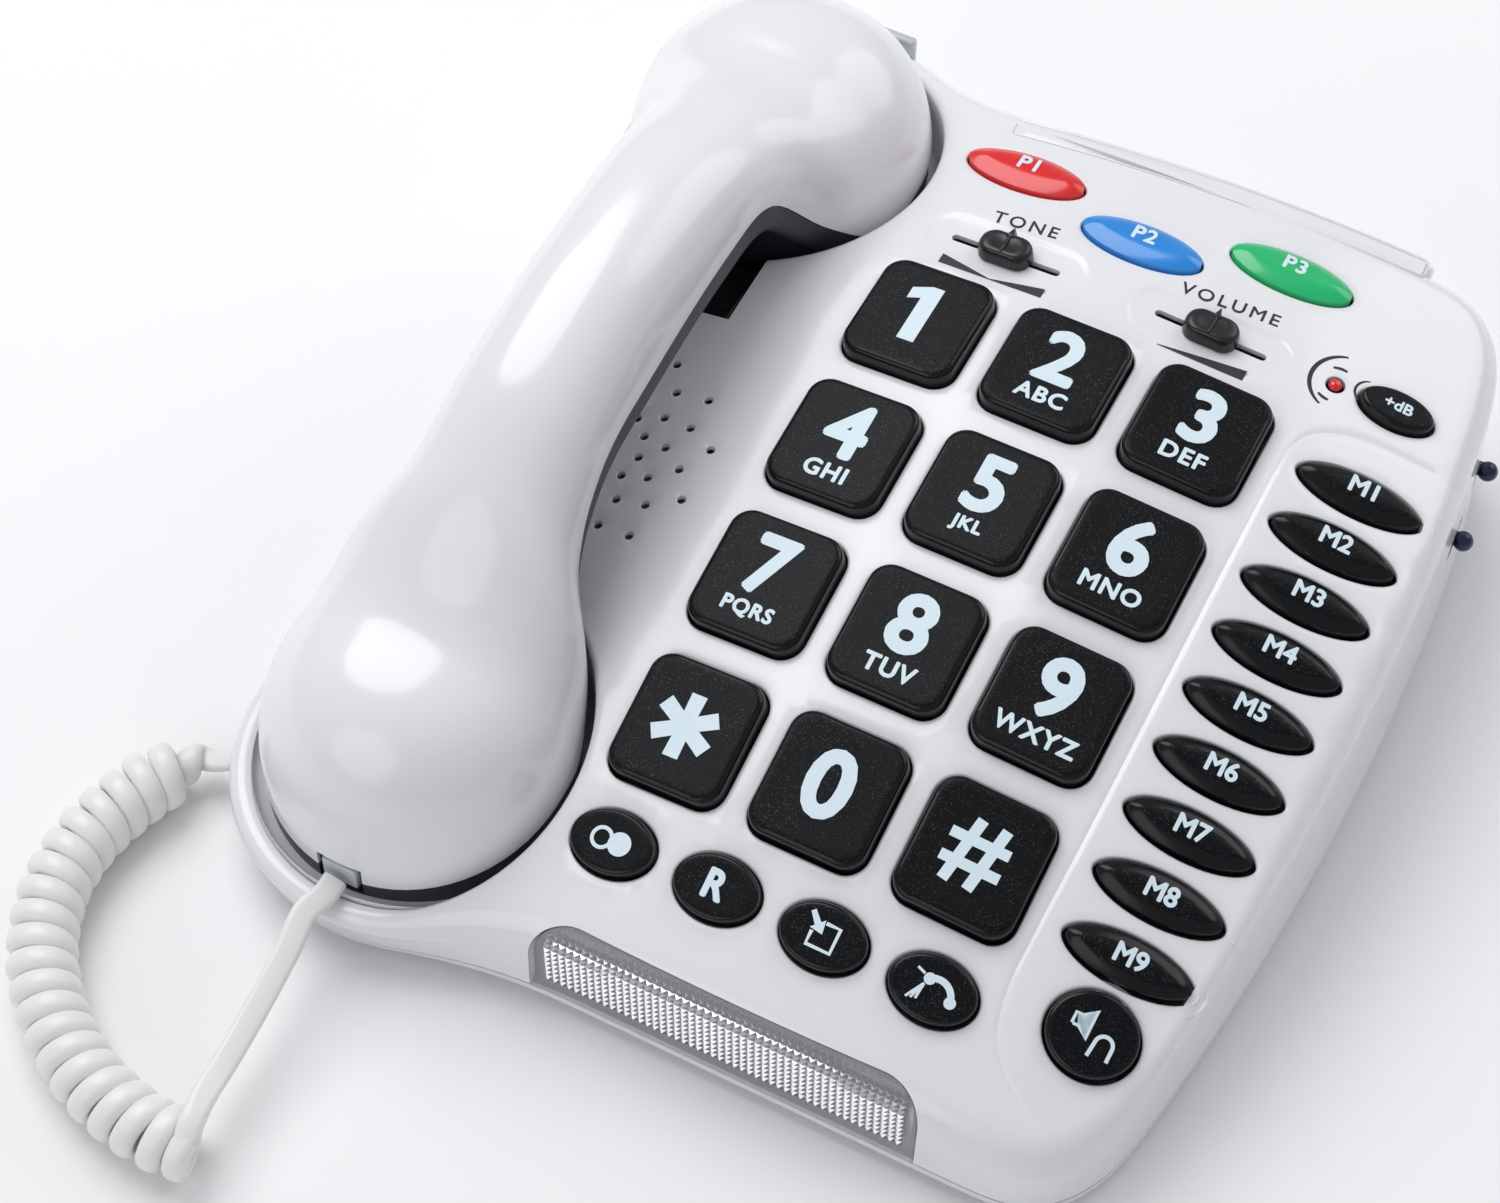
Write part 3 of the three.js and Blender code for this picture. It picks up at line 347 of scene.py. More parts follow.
def spline_through(points, spacing):
    """Evenly spaced places on a smooth line through hand-chosen points."""
    points = np.asarray(points, float)
    padded = np.vstack([2 * points[0] - points[1], points, 2 * points[-1] - points[-2]])
    line = []
    for p0, p1, p2, p3 in zip(padded, padded[1:], padded[2:], padded[3:]):
        for t in np.linspace(0, 1, 24, endpoint=False):
            line.append(0.5 * (2 * p1 + (p2 - p0) * t + (2 * p0 - 5 * p1 + 4 * p2 - p3) * t * t
                               + (3 * p1 - p0 - 3 * p2 + p3) * t**3))
    line = np.array(line + [points[-1]])
    lengths = np.concatenate([[0], np.cumsum(np.linalg.norm(np.diff(line, axis=0), axis=1))])
    count = max(2, int(round(lengths[-1] / spacing)) + 1)
    even = np.linspace(0, lengths[-1], count)
    return np.stack([np.interp(even, lengths, line[:, k]) for k in range(3)], axis=-1)


# ---------------------------------------------------------------- shader helpers


class Sock:
    """A shader socket that takes part in sums."""

    def __init__(self, look, socket):
        self.look = look
        self.socket = socket

    def math(self, operation, *values):
        return self.look.add("ShaderNodeMath", {"operation": operation}, dict(enumerate(values)))

    def __add__(self, other):
        return self.math("ADD", self, other)

    def __radd__(self, other):
        return self.math("ADD", other, self)

    def __sub__(self, other):
        return self.math("SUBTRACT", self, other)

    def __rsub__(self, other):
        return self.math("SUBTRACT", other, self)

    def __mul__(self, other):
        return self.math("MULTIPLY", self, other)

    def __rmul__(self, other):
        return self.math("MULTIPLY", other, self)

    def above(self, level, softness):
        """0 below the level and 1 above it, over a soft edge."""
        return self.look.add("ShaderNodeMapRange", {"interpolation_type": "SMOOTHSTEP"}, {
            "Value": self, "From Min": level - softness, "From Max": level + softness})


class Look:
    """One procedural material."""

    def __init__(self, name):
        self.material = bpy.data.materials.new(name)
        self.material.use_nodes = True
        self.nodes = self.material.node_tree.nodes
        self.links = self.material.node_tree.links
        self.shader = self.nodes["Principled BSDF"]

    def fill(self, node, inputs):
        for name, value in inputs.items():
            socket = node.inputs[name]
            if isinstance(value, Sock):
                self.links.new(value.socket, socket)
            elif isinstance(value, tuple) and len(value) == 3 and socket.type == "RGBA":
                socket.default_value = (*value, 1)
            else:
                socket.default_value = value

    def add(self, kind, settings, inputs, output=0):
        node = self.nodes.new(kind)
        for name, value in settings.items():
            setattr(node, name, value)
        self.fill(node, inputs)
        return Sock(self, node.outputs[output])

    def coordinates(self, stretch=(1, 1, 1)):
        place_on = self.add("ShaderNodeTexCoord", {}, {}, "Object")
        return self.add("ShaderNodeMapping", {}, {"Vector": place_on, "Scale": stretch})

    def noise(self, scale, detail=3.0, stretch=(1, 1, 1)):
        return self.add("ShaderNodeTexNoise", {}, {
            "Vector": self.coordinates(stretch), "Scale": scale, "Detail": detail})

    def mix(self, factor, first, second):
        node = self.nodes.new("ShaderNodeMix")
        node.data_type = "RGBA"
        for index, value in ((0, factor), (6, first), (7, second)):
            socket = node.inputs[index]
            if isinstance(value, Sock):
                self.links.new(value.socket, socket)
            else:
                socket.default_value = (*value, 1) if index else value
        return Sock(self, node.outputs[2])

    def bump(self, height, distance, strength=1.0):
        return self.add("ShaderNodeBump", {}, {
            "Height": height, "Distance": distance, "Strength": strength})


def tint(colour, factor):
    return tuple(min(1.0, channel * factor) for channel in colour)


def plastic(name, colour, roughness, grain=0.5, depth=0.004, mottle=0.03, wear=0.05, **sockets):
    """Moulded plastic: faint flow marks in its colour, fine grain and handling marks in its gloss."""
    look = Look(name)
    flow = look.noise(38, 2)
    haze = look.noise(160, 4)
    fine = look.noise(1 / (grain * MM), 2)
    look.fill(look.shader, {
        "Base Color": look.mix(flow, tint(colour, 1 - mottle), tint(colour, 1 + mottle)),
        "Roughness": roughness - wear + haze * (2 * wear),
        "Normal": look.bump(fine, depth * MM, 1.0),
        **sockets,
    })
    return look.material


def speckled_plastic(name, colour, roughness):
    """Near-black key tops with a fine sparkle of light flecks."""
    look = Look(name)
    cells = look.add("ShaderNodeTexVoronoi", {}, {"Vector": look.coordinates(), "Scale": 3600.0})
    chosen = look.add("ShaderNodeTexVoronoi", {}, {
        "Vector": look.coordinates(), "Scale": 3600.0}, "Color")
    fleck = (0.16 - cells).above(0, 0.04) * look.add(
        "ShaderNodeSeparateColor", {}, {"Color": chosen}).above(0.55, 0.05)
    cloud = look.noise(70, 2).above(0.5, 0.25)
    grain = look.noise(4500, 2)
    look.fill(look.shader, {
        "Base Color": look.mix(fleck * (0.35 + cloud * 0.65), colour, (0.34, 0.36, 0.38)),
        "Roughness": roughness - 0.05 + look.noise(900, 3) * 0.1,
        "Normal": look.bump(grain, 0.012 * MM, 0.8),
        "Specular IOR Level": 0.12,
    })
    return look.material


def clear_plastic(name, colour, alpha, roughness):
    look = Look(name)
    ripple = look.noise(420, 2)
    look.fill(look.shader, {
        "Base Color": look.mix(look.noise(90), tint(colour, 0.94), colour),
        "Roughness": roughness + ripple * 0.03,
        "Alpha": alpha - 0.04 + look.noise(60) * 0.08,
        "Normal": look.bump(ripple, 0.02 * MM, 0.6),
        "Specular IOR Level": 0.7,
        "Coat Weight": 0.5,
        "Coat Roughness": 0.03,
    })
    return look.material


def metal(name, colour, roughness, stretch=(1, 1, 1)):
    look = Look(name)
    streak = look.noise(900, 3, stretch)
    look.fill(look.shader, {
        "Base Color": look.mix(look.noise(220), tint(colour, 0.85), colour),
        "Metallic": 1.0,
        "Roughness": roughness - 0.06 + streak * 0.12,
        "Normal": look.bump(streak, 0.01 * MM, 0.5),
    })
    return look.material


def rubber(name, colour):
    look = Look(name)
    pores = look.noise(2600, 3)
    look.fill(look.shader, {
        "Base Color": look.mix(look.noise(140, 4), tint(colour, 0.8), tint(colour, 1.4)),
        "Roughness": 0.68 + pores * 0.2,
        "Normal": look.bump(pores, 0.05 * MM, 0.7),
    })
    return look.material


def vinyl(name, colour):
    """Extruded cord jacket: faint lengthwise lines and a soft shine."""
    look = Look(name)
    lines = look.noise(700, 2)
    patina = look.noise(45, 4)
    look.fill(look.shader, {
        "Base Color": look.mix(patina, tint(colour, 0.95), tint(colour, 1.03)),
        "Roughness": 0.3 + look.noise(260, 3) * 0.12,
        "Normal": look.bump(lines, 0.02 * MM, 0.6),
        "Subsurface Weight": 0.08,
        "Subsurface Radius": (0.004, 0.003, 0.002),
        "Coat Weight": 0.12,
    })
    return look.material


def ink(name, colour):
    look = Look(name)
    look.fill(look.shader, {
        "Base Color": look.mix(look.noise(1200, 3), tint(colour, 0.93), tint(colour, 1.05)),
        "Roughness": 0.42 + look.noise(1800, 2) * 0.1,
        "Normal": look.bump(look.noise(3000, 2), 0.004 * MM, 0.5),
    })
    return look.material


LOOKS = {}


def make_looks(colours):
    LOOKS["housing"] = plastic("white_gloss", tuple(colours.housing), 0.2, 0.7, 0.006, 0.012, 0.05,
                               **{"Coat Weight": 0.35, "Coat Roughness": 0.08})
    LOOKS["underside"] = plastic("white_satin", tint(colours.housing, 0.96), 0.5, 0.25, 0.02, 0.02, 0.08)
    LOOKS["inner_shell"] = plastic("charcoal_satin", tuple(colours.inner_shell), 0.4, 0.22, 0.012, 0.12, 0.07)
    LOOKS["key_top"] = speckled_plastic("key_speckle", tuple(colours.keys), 0.36)
    LOOKS["key_side"] = plastic("key_polish", tint(colours.keys, 0.8), 0.2, 0.4, 0.003, 0.1, 0.05,
                                **{"Specular IOR Level": 0.3})
    for name, colour in (("red", colours.red_key), ("blue", colours.blue_key), ("green", colours.green_key)):
        LOOKS[name] = plastic(f"{name}_gloss", tuple(colour), 0.24, 0.6, 0.006, 0.05, 0.05,
                              **{"Coat Weight": 0.5, "Coat Roughness": 0.08})
    LOOKS["knob"] = plastic("knob_black", (0.011, 0.011, 0.013), 0.27, 0.4, 0.008, 0.2, 0.06)
    LOOKS["navy"] = plastic("switch_navy", (0.010, 0.016, 0.055), 0.2, 0.4, 0.006, 0.15, 0.05)
    LOOKS["lens"] = clear_plastic("lens_clear", (0.88, 0.90, 0.92), 0.2, 0.04)
    LOOKS["plug"] = clear_plastic("plug_clear", (0.84, 0.87, 0.89), 0.68, 0.08)
    LOOKS["hook"] = clear_plastic("hook_clear", (0.60, 0.64, 0.69), 0.72, 0.22)
    LOOKS["prism"] = metal("prism_silver", (0.93, 0.93, 0.95), 0.18)
    # Dark copy of the prism silver: painted shade for the bottom and right faces of the window's pyramids.
    LOOKS["prism_painted_shade"] = metal("prism_painted_shade", (0.20, 0.20, 0.225), 0.2)
    LOOKS["reflector"] = metal("reflector_silver", (0.72, 0.73, 0.75), 0.3)
    LOOKS["steel"] = metal("screw_zinc", (0.42, 0.42, 0.44), 0.32)
    LOOKS["gold"] = metal("contact_gold", (0.83, 0.58, 0.20), 0.25)
    LOOKS["rubber"] = rubber("foot_rubber", (0.035, 0.036, 0.04))
    LOOKS["silicone"] = rubber("mat_silicone", (0.36, 0.37, 0.39))
    LOOKS["vinyl"] = vinyl("cord_vinyl", tuple(colours.cord))
    LOOKS["legend"] = ink("legend_ink", tuple(colours.legend))
    LOOKS["print"] = ink("print_ink", (0.012, 0.014, 0.030))
    LOOKS["cloth"] = rubber("speaker_cloth", (0.26, 0.265, 0.28))
    LOOKS["paper"] = ink("label_paper", (0.66, 0.67, 0.69))
    LOOKS["jack"] = plastic("jack_dark", (0.02, 0.021, 0.024), 0.42, 0.3, 0.01, 0.15, 0.06)
    LOOKS["hollow"] = plastic("hollow_dark", (0.006, 0.006, 0.007), 0.7, 0.5, 0.01, 0.2, 0.06)
    LOOKS["board"] = plastic("board_green", (0.015, 0.13, 0.05), 0.35, 0.8, 0.02, 0.2, 0.08)
    LOOKS["led"] = plastic("led_red", (0.62, 0.006, 0.012), 0.12, 0.6, 0.003, 0.1, 0.03,
                           **{"Coat Weight": 0.8, "Emission Color": (0.6, 0.0, 0.01),
                              "Emission Strength": 0.15})


# ---------------------------------------------------------------- base housing


def base_outline(height):
    """The base's outline at a height, the same number of points at every height."""
    up = height - 3.0
    right = RIGHT_EDGE - SIDE_DRAFT * up
    front = FRONT_EDGE + END_DRAFT * up
    rear = REAR_EDGE - END_DRAFT * up
    ear = EAR_LOBE - END_DRAFT * up
    mouth = MOUTH_LOBE - LOBE_UNDERCUT * max(0, 1 - up / (LOBE_RIM - 3.0))
    waist = HANDSET_X - 24
    centre = (FRONT_EDGE + REAR_EDGE) / 2
    ear_x = HANDSET_X + EAR_LOBE_SHIFT

    def on_ear(angle):
        return np.array([ear_x + ear * math.cos(angle), EAR_Y + ear * math.sin(angle)])

    def on_mouth(angle):
        return np.array([HANDSET_X + mouth * math.cos(angle), MOUTH_Y + mouth * math.sin(angle)])

    points = []

    def bend(start, control, finish, steps):
        start, control, finish = (np.array(p, float) for p in (start, control, finish))
        for t in np.linspace(0, 1, steps, endpoint=False):
            points.append((1 - t) ** 2 * start + 2 * t * (1 - t) * control + t * t * finish)

    def arc(on, start, finish, steps):
        points.extend(on(angle) for angle in np.linspace(start, finish, steps, endpoint=False))

    ear_start, mouth_end = math.radians(57), math.radians(292)
    front_left = [HANDSET_X + 42, front]
    right_front = [right - 7.5, front + 19]
    right_rear = [right - 4, rear - 28]
    bend(front_left, [(HANDSET_X + 42 + right - 28) / 2, front], [right - 28, front], 44)
    bend([right - 28, front], [right - 12.5, front], right_front, 20)
    bend(right_front, [right + 6, centre - 6], right_rear, 80)
    bend(right_rear, [right - 7, rear], [right - 24, rear], 20)
    bend([right - 24, rear], [(right + HANDSET_X) / 2, rear], [HANDSET_X + 42, rear], 40)
    bend([HANDSET_X + 42, rear], [HANDSET_X + 31, rear], on_ear(ear_start), 10)
    arc(on_ear, ear_start, math.pi * 1.08, 44)
    bend(on_ear(math.pi * 1.08), [waist, EAR_Y - EAR_LOBE * 0.55], [waist, centre - 4], 22)
    bend([waist, centre - 4], [waist, MOUTH_Y + mouth * 0.8], on_mouth(math.pi * 0.9), 22)
    arc(on_mouth, math.pi * 0.9, mouth_end, 44)
    bend(on_mouth(mouth_end), [HANDSET_X + 27, front - 1], front_left, 14)
    ring = np.array(points)
    for _ in range(12):
        ring = (np.roll(ring, 1, 0) + 2 * ring + np.roll(ring, -1, 0)) / 4
    return ring


OUTLINES = [(z, base_outline(z)) for z in (SKIRT_BOTTOM, LOBE_RIM, 60.0)]


def wall_points(heights):
    """The side wall's place at a height of its own for each point of the outline."""
    (z0, low), (z1, rim), (z2, top) = OUTLINES
    heights = np.asarray(heights, float)[:, None]
    lower = low + (rim - low) * (heights - z0) / (z1 - z0)
    upper = rim + (top - rim) * (heights - z1) / (z2 - z1)
    return np.where(heights < z1, lower, upper)


def inward(ring):
    """Unit normals that point into a ring which runs anticlockwise."""
    along = np.roll(ring, -1, 0) - np.roll(ring, 1, 0)
    normal = np.stack([-along[:, 1], along[:, 0]], axis=-1)
    return normal / np.linalg.norm(normal, axis=1)[:, None]


# Line that bounds the raised right-hand panel round the memory keys
SEAM = [
    (84, 67.6, 0), (78, 67.2, 0), (69, 67, 0), (58.5, 66.2, 0), (51, 63, 0), (47.6, 58.5, 0), (46.7, 52, 0),
    (46.7, 30, 0), (46.7, 0, 0), (46.4, -30, 0), (45.6, -55, 0), (45.6, -66, 0), (48, -74.5, 0),
    (54, -80, 0), (62, -83.6, 0), (69, -88, 0), (71.5, -96, 0),
]
SEAM_LINE = spline_through(SEAM, 1.2)
MEMORY_PITCH = 13.29


def relief(x, y):
    """How far the top is drawn in by the seam and by the shallow flutes beside the memory keys."""
    points = np.column_stack([x, y])
    seam = 0.34 * np.exp(-(distance_to(points, SEAM_LINE) / 0.55) ** 2)
    start = MEMORY_X + 12.6
    run = np.clip((x - start) / 4.5, 0, 1)
    sweep = y + 0.034 * np.maximum(x - start, 0) ** 2
    phase = (sweep / math.cos(PANEL_TILT) + 0.6 - 2.6) / MEMORY_PITCH
    saw = phase - np.floor(phase)
    flute = 1.1 * (1 - saw) ** 1.4 * np.clip(saw / 0.28, 0, 1)
    rows = np.clip((phase + 2.4) * 1.2, 0, 1) * np.clip((4.35 - phase) * 2.5, 0, 1)
    fade = run * run * (3 - 2 * run) * np.clip((RIGHT_EDGE + 1.2 - x) / 4.5, 0, 1)
    return seam + flute * rows * fade


def key_list():
    """Name, place on the panel, outline maker, rise, body finish and kind of every key."""
    keys = []
    names = ["1", "2", "3", "4", "5", "6", "7", "8", "9", "star", "0", "hash"]
    for i, name in enumerate(names):
        keys.append((f"key_{name}", (i % 3 - 1) * 30.0, (1.5 - i // 3) * 32.8, "number"))
    for i in range(9):
        keys.append((f"key_memory_{i + 1}", MEMORY_X, (4 - i) * MEMORY_PITCH - 0.6, "memory"))
    for i, name in enumerate(("mute", "recall", "store", "redial")):
        keys.append((f"key_{name}", (i - 1.5) * 22.2 + 0.2, -74.2, "function"))
    keys.append(("key_speaker", MEMORY_X - 0.4, -68.6, "speaker"))
    for i, shift in enumerate((0, -7.6, 0.2)):
        keys.append((f"key_preset_{i + 1}", (i - 1) * 29.5 + 1, 95.5 + shift, "preset"))
    keys.append(("key_boost", MEMORY_X - 1.4, SLIDER_Y + 1.4, "boost"))
    return keys


KEY_SHAPES = {
    "number": (lambda o=0.0: rounded_rectangle(24.4, 26, 4.5, o), 3.0),
    "memory": (lambda o=0.0: oval(25.4, 8.8, o, 1.1), 2.4),
    "function": (lambda o=0.0: oval(17.4, 12.6, o), 2.2),
    "speaker": (lambda o=0.0: oval(17.8, 16, o), 2.2),
    "preset": (lambda o=0.0: oval(26, 10, o), 1.8),
    "boost": (lambda o=0.0: oval(15.6, 8.6, o), 2.0),
}


def panel_ring(outline, u, v, sink):
    """An outline laid on the crown round a place, sunk below it."""
    x, y = outline[:, 0] + u, outline[:, 1] + v
    return panel_point(x, y, crown(x, y) - sink)


def lip_rings(shape, u, v, gap, lip, depth):
    """A hole's edge: a small round lip, then a wall straight down."""
    rings = [panel_ring(shape(gap + lip * (1 - math.sin(a))), u, v, lip * (1 - math.cos(a)))
             for a in np.radians([0, 30, 60, 90])]
    return rings + [panel_ring(shape(gap), u, v, depth)]


def tangent_ring(outline, u, v, sink):
    """An outline in the plane that touches the crown at a place, sunk below it."""
    z = crown(u, v) - 2 * CROWN_X * u * outline[:, 0] - 2 * CROWN_Y * v * outline[:, 1] - sink
    return panel_point(outline[:, 0] + u, outline[:, 1] + v, z)


def well_rings(x, y, radius, floor):
    """A round well: a soft lip that follows the top, a wall, a round foot and a flat floor."""
    rings = []
    lip = 1.7
    for angle in np.radians(np.linspace(0, 90, 6)):
        ring = circle(x, y, radius + lip * (1 - math.sin(angle)), 96)
        edge = circle(x, y, radius + lip, 96)
        z = base_top(edge[:, 0], edge[:, 1]) - lip * (1 - math.cos(angle))
        rings.append(np.column_stack([ring, z]))
    rings.append(np.column_stack([circle(x, y, radius, 96), np.full(96, floor + 2.5)]))
    for angle in np.radians([30, 60, 90]):
        ring = circle(x, y, radius - 2.5 * (1 - math.cos(angle)), 96)
        rings.append(np.column_stack([ring, np.full(96, floor + 2.5 - 2.5 * math.sin(angle))]))
    return rings


def speaker_holes():
    """Rays of round holes over the loudspeaker."""
    places = []
    for ray in range(12):
        for step in range(4):
            reach = 9.5 + 4.6 * step
            angle = math.radians(30 * ray + 15 * (step % 2))
            places.append((HOLE_CENTRE[0] + reach * math.cos(angle),
                           HOLE_CENTRE[1] + reach * math.sin(angle)))
    return places


STRIP = (90.0, 4.6)
STRIP_PLACE = (8.2, 111.3)
STRIP_TURN = math.radians(3.4)


def strip_outline(outset=0.0):
    """The label strip's outline, bowed a little along the rear edge."""
    ring = rounded_rectangle(STRIP[0], STRIP[1], 0.7, outset, 3)
    long_sides = []
    for a, b in zip(ring, np.roll(ring, -1, 0)):
        steps = 24 if abs(b[0] - a[0]) > 20 else 1
        long_sides.extend(a + (b - a) * t for t in np.linspace(0, 1, steps, endpoint=False))
    ring = np.array(long_sides)
    cosine, sine = math.cos(STRIP_TURN), math.sin(STRIP_TURN)
    return np.column_stack([ring[:, 0] * cosine - ring[:, 1] * sine, ring[:, 0] * sine + ring[:, 1] * cosine])


def housing_skin():
    skin = Skin()
    ring = wall_points(np.full(len(OUTLINES[0][1]), 40.0))
    side_keys = [panel_ring(KEY_SHAPES[kind][0](1.25), u, v, 0)[:, :2]
                 for _, u, v, kind in key_list() if kind in ("memory", "speaker")]
    for _ in range(3):
        edge_z = base_top(ring[:, 0], ring[:, 1])
        wells = np.minimum(np.hypot(ring[:, 0] - HANDSET_X, ring[:, 1] - EAR_Y) - EAR_WELL,
                           np.hypot(ring[:, 0] - HANDSET_X, ring[:, 1] - MOUTH_Y) - MOUTH_WELL)
        keys = np.min([distance_to(ring, outline, True) for outline in side_keys], axis=0)
        radius = np.clip(np.minimum(wells - 2.2, keys - 1.0), 1.4, 6.0)
        ring = wall_points(edge_z - radius)
    for _ in range(30):
        radius = (np.roll(radius, 1) + radius + np.roll(radius, -1)) / 3
    normal = inward(ring)
    wall_top = edge_z - radius
    wall = []
    for share in np.linspace(0, 1, 9):
        z = SKIRT_BOTTOM + (wall_top - SKIRT_BOTTOM) * share
        wall.append(np.column_stack([wall_points(z), z]))
    rolled = []
    for angle in np.radians(np.linspace(0, 90, 9)):
        place_on = ring + normal * (radius * (1 - math.cos(angle)))[:, None]
        z = base_top(place_on[:, 0], place_on[:, 1]) - radius * (1 - math.sin(angle))
        rolled.append(np.column_stack([place_on, z]))
    skin.bridge(wall[:-1] + rolled)

    holes = []
    for _, u, v, kind in key_list():
        gap = 0.65 if kind == "memory" else 0.35
        rings = lip_rings(KEY_SHAPES[kind][0], u, v, gap, 0.6, 1.6)
        skin.bridge(rings)
        holes.append(rings[0])
    for sign in (-1, 1):
        u = sign * SLIDER_X
        dish = []
        for share in np.linspace(0, 1, 6):
            ease = share * share * (3 - 2 * share)
            outline = rounded_rectangle(33, 10, 4.99, 1.8 * (1 - share), 12)
            dish.append(tangent_ring(outline, u, SLIDER_Y, 0.62) * ease
                        + panel_ring(outline, u, SLIDER_Y, 0) * (1 - ease))
        slot = rounded_rectangle(24, 1.7, 0.84, 0, 12)
        dish.append(tangent_ring(slot, u, SLIDER_Y, 0.62))
        dish.append(tangent_ring(slot, u, SLIDER_Y, 2.2))
        skin.bridge(dish)
        holes.append(dish[0])
    led = lip_rings(lambda o=0.0: circle(0, 0, 1.9 + o, 20), *LED, 0.1, 0.25, 1.6)
    skin.bridge(led)
    holes.append(led[0])
    for x, y, well, floor in ((HANDSET_X, EAR_Y, EAR_WELL, EAR_FLOOR),
                              (HANDSET_X, MOUTH_Y, MOUTH_WELL, MOUTH_FLOOR)):
        rings = well_rings(x, y, well, floor)
        indices = skin.bridge(rings)
        skin.cap(indices[-1])
        holes.append(rings[0])
    for x, y in speaker_holes():
        if math.hypot(x - HANDSET_X, y - EAR_Y) < EAR_WELL + 5 or x < HANDSET_X - 19:
            continue
        rings = []
        for radius_here, sink in ((1.15, 0), (0.95, 0.12), (0.9, 1.2)):
            around = circle(x, y, radius_here, 12)
            rings.append(np.column_stack([around, base_top(around[:, 0], around[:, 1]) - sink]))
        skin.bridge(rings)
        holes.append(rings[0])
    strip = []
    for outset, sink in ((0.25, 0), (0, 0.1), (0, 0.5)):
        outline = strip_outline(outset) + np.array(STRIP_PLACE)
        strip.append(np.column_stack([outline, base_top(outline[:, 0], outline[:, 1]) - sink]))
    indices = skin.bridge(strip)
    skin.cap(indices[-1])
    holes.append(strip[0])

    loose = []
    for step, low, high in ((3.0, -130, 42), (1.5, 42, 70), (0.9, 70, 90)):
        xs, ys = np.meshgrid(np.arange(low, high, step), np.arange(-110, 135, step))
        loose.append(np.column_stack([xs.ravel(), ys.ravel()]))
    loose = np.vstack(loose)
    for offset in (-1.1, -0.55, 0, 0.55, 1.1):
        side = inward(SEAM_LINE[:, :2])
        side[0], side[-1] = side[1], side[-2]
        loose = np.vstack([loose[distance_to(loose, SEAM_LINE) > 1.6] if offset == -1.1 else loose,
                           SEAM_LINE[:, :2] + side * offset])
    boundary = rolled[-1]
    keep = inside(loose, boundary) & (distance_to(loose, boundary, True) > 0.8)
    loose = loose[keep]
    for hole in holes:
        low, high = hole[:, :2].min(0) - 1, hole[:, :2].max(0) + 1
        near = ((loose > low) & (loose < high)).all(1)
        clear = ~inside(loose[near], hole) & (distance_to(loose[near], hole, True) > 0.6)
        kept = np.ones(len(loose), bool)
        kept[np.nonzero(near)[0]] = clear
        loose = loose[kept]
    skin.fill(boundary, holes, loose, base_top)

    points = np.array(skin.points)
    drop = relief(points[:, 0], points[:, 1]) * np.clip((points[:, 2] - 16) / 8, 0, 1)
    points[:, 2] -= drop
    skin.points = points.tolist()
    return skin


def lens_prism(outset, name):
    """The window's outline swept back through the front edge."""
    outline = rounded_rectangle(LENS_RIGHT - LENS_LEFT, 60, 9, outset, 14)
    skin = Skin()
    lean = math.radians(50)
    edge = np.array([(LENS_LEFT + LENS_RIGHT) / 2, FRONT_EDGE + 4, panel_top(0, FRONT_EDGE + 4)])
    up = np.array([0, math.cos(lean), math.sin(lean)])
    out = np.array([0, -math.sin(lean), math.cos(lean)])
    rings = []
    for depth in (-22, 14):
        rings.append(edge + np.outer(outline[:, 0], [1, 0, 0])
                     + np.outer(outline[:, 1] - 30, up) + out * depth)
    indices = skin.bridge(rings)
    skin.cap(indices[0], True)
    skin.cap(indices[1])
    return skin.piece(name)


def block(name, low, high, matrix=None):
    """A box between two corners, in millimetres, turned by a matrix of the same units."""
    low, high = np.array(low, float), np.array(high, float)
    deselect()
    bpy.ops.mesh.primitive_cube_add(size=1)
    piece = bpy.context.object
    piece.name = name
    grow = Matrix.Translation((low + high) / 2) @ Matrix.Diagonal((*(high - low), 1))
    whole = (matrix or Matrix.Identity(4)) @ grow
    piece.data.transform(Matrix.Translation(PLAN) @ Matrix.Scale(MM, 4) @ whole)
    return piece


def carve(piece, cutters, operation="DIFFERENCE"):
    """Cuts the piece by each cutter in turn and removes the cutters."""
    for cutter in cutters:
        apply_modifier(piece, "BOOLEAN", operation=operation, solver="MANIFOLD", object=cutter)
        bpy.data.objects.remove(cutter)
    piece.data.materials.clear()


def line_jack_matrix():
    spot = plan("line_jack")
    high = (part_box("line_jack")[1] - PLAN) / MM
    return Matrix.Translation((spot.x, high.y, spot.z))


def base_jack_matrix():
    reach = MOUTH_LOBE - LOBE_UNDERCUT - 0.6
    angle = math.radians(201)
    spot = (HANDSET_X + reach * math.cos(angle), MOUTH_Y + reach * math.sin(angle), SKIRT_BOTTOM + 4.1)
    return Matrix.Translation(spot) @ Matrix.Rotation(angle - math.pi / 2, 4, "Z")


def handset_jack_matrix():
    place = Matrix.Translation((HANDSET_X, MOUTH_Y - MOUTH_RADIUS + 1.2, 18.6))
    return place @ Matrix.Rotation(math.pi, 4, "Z")


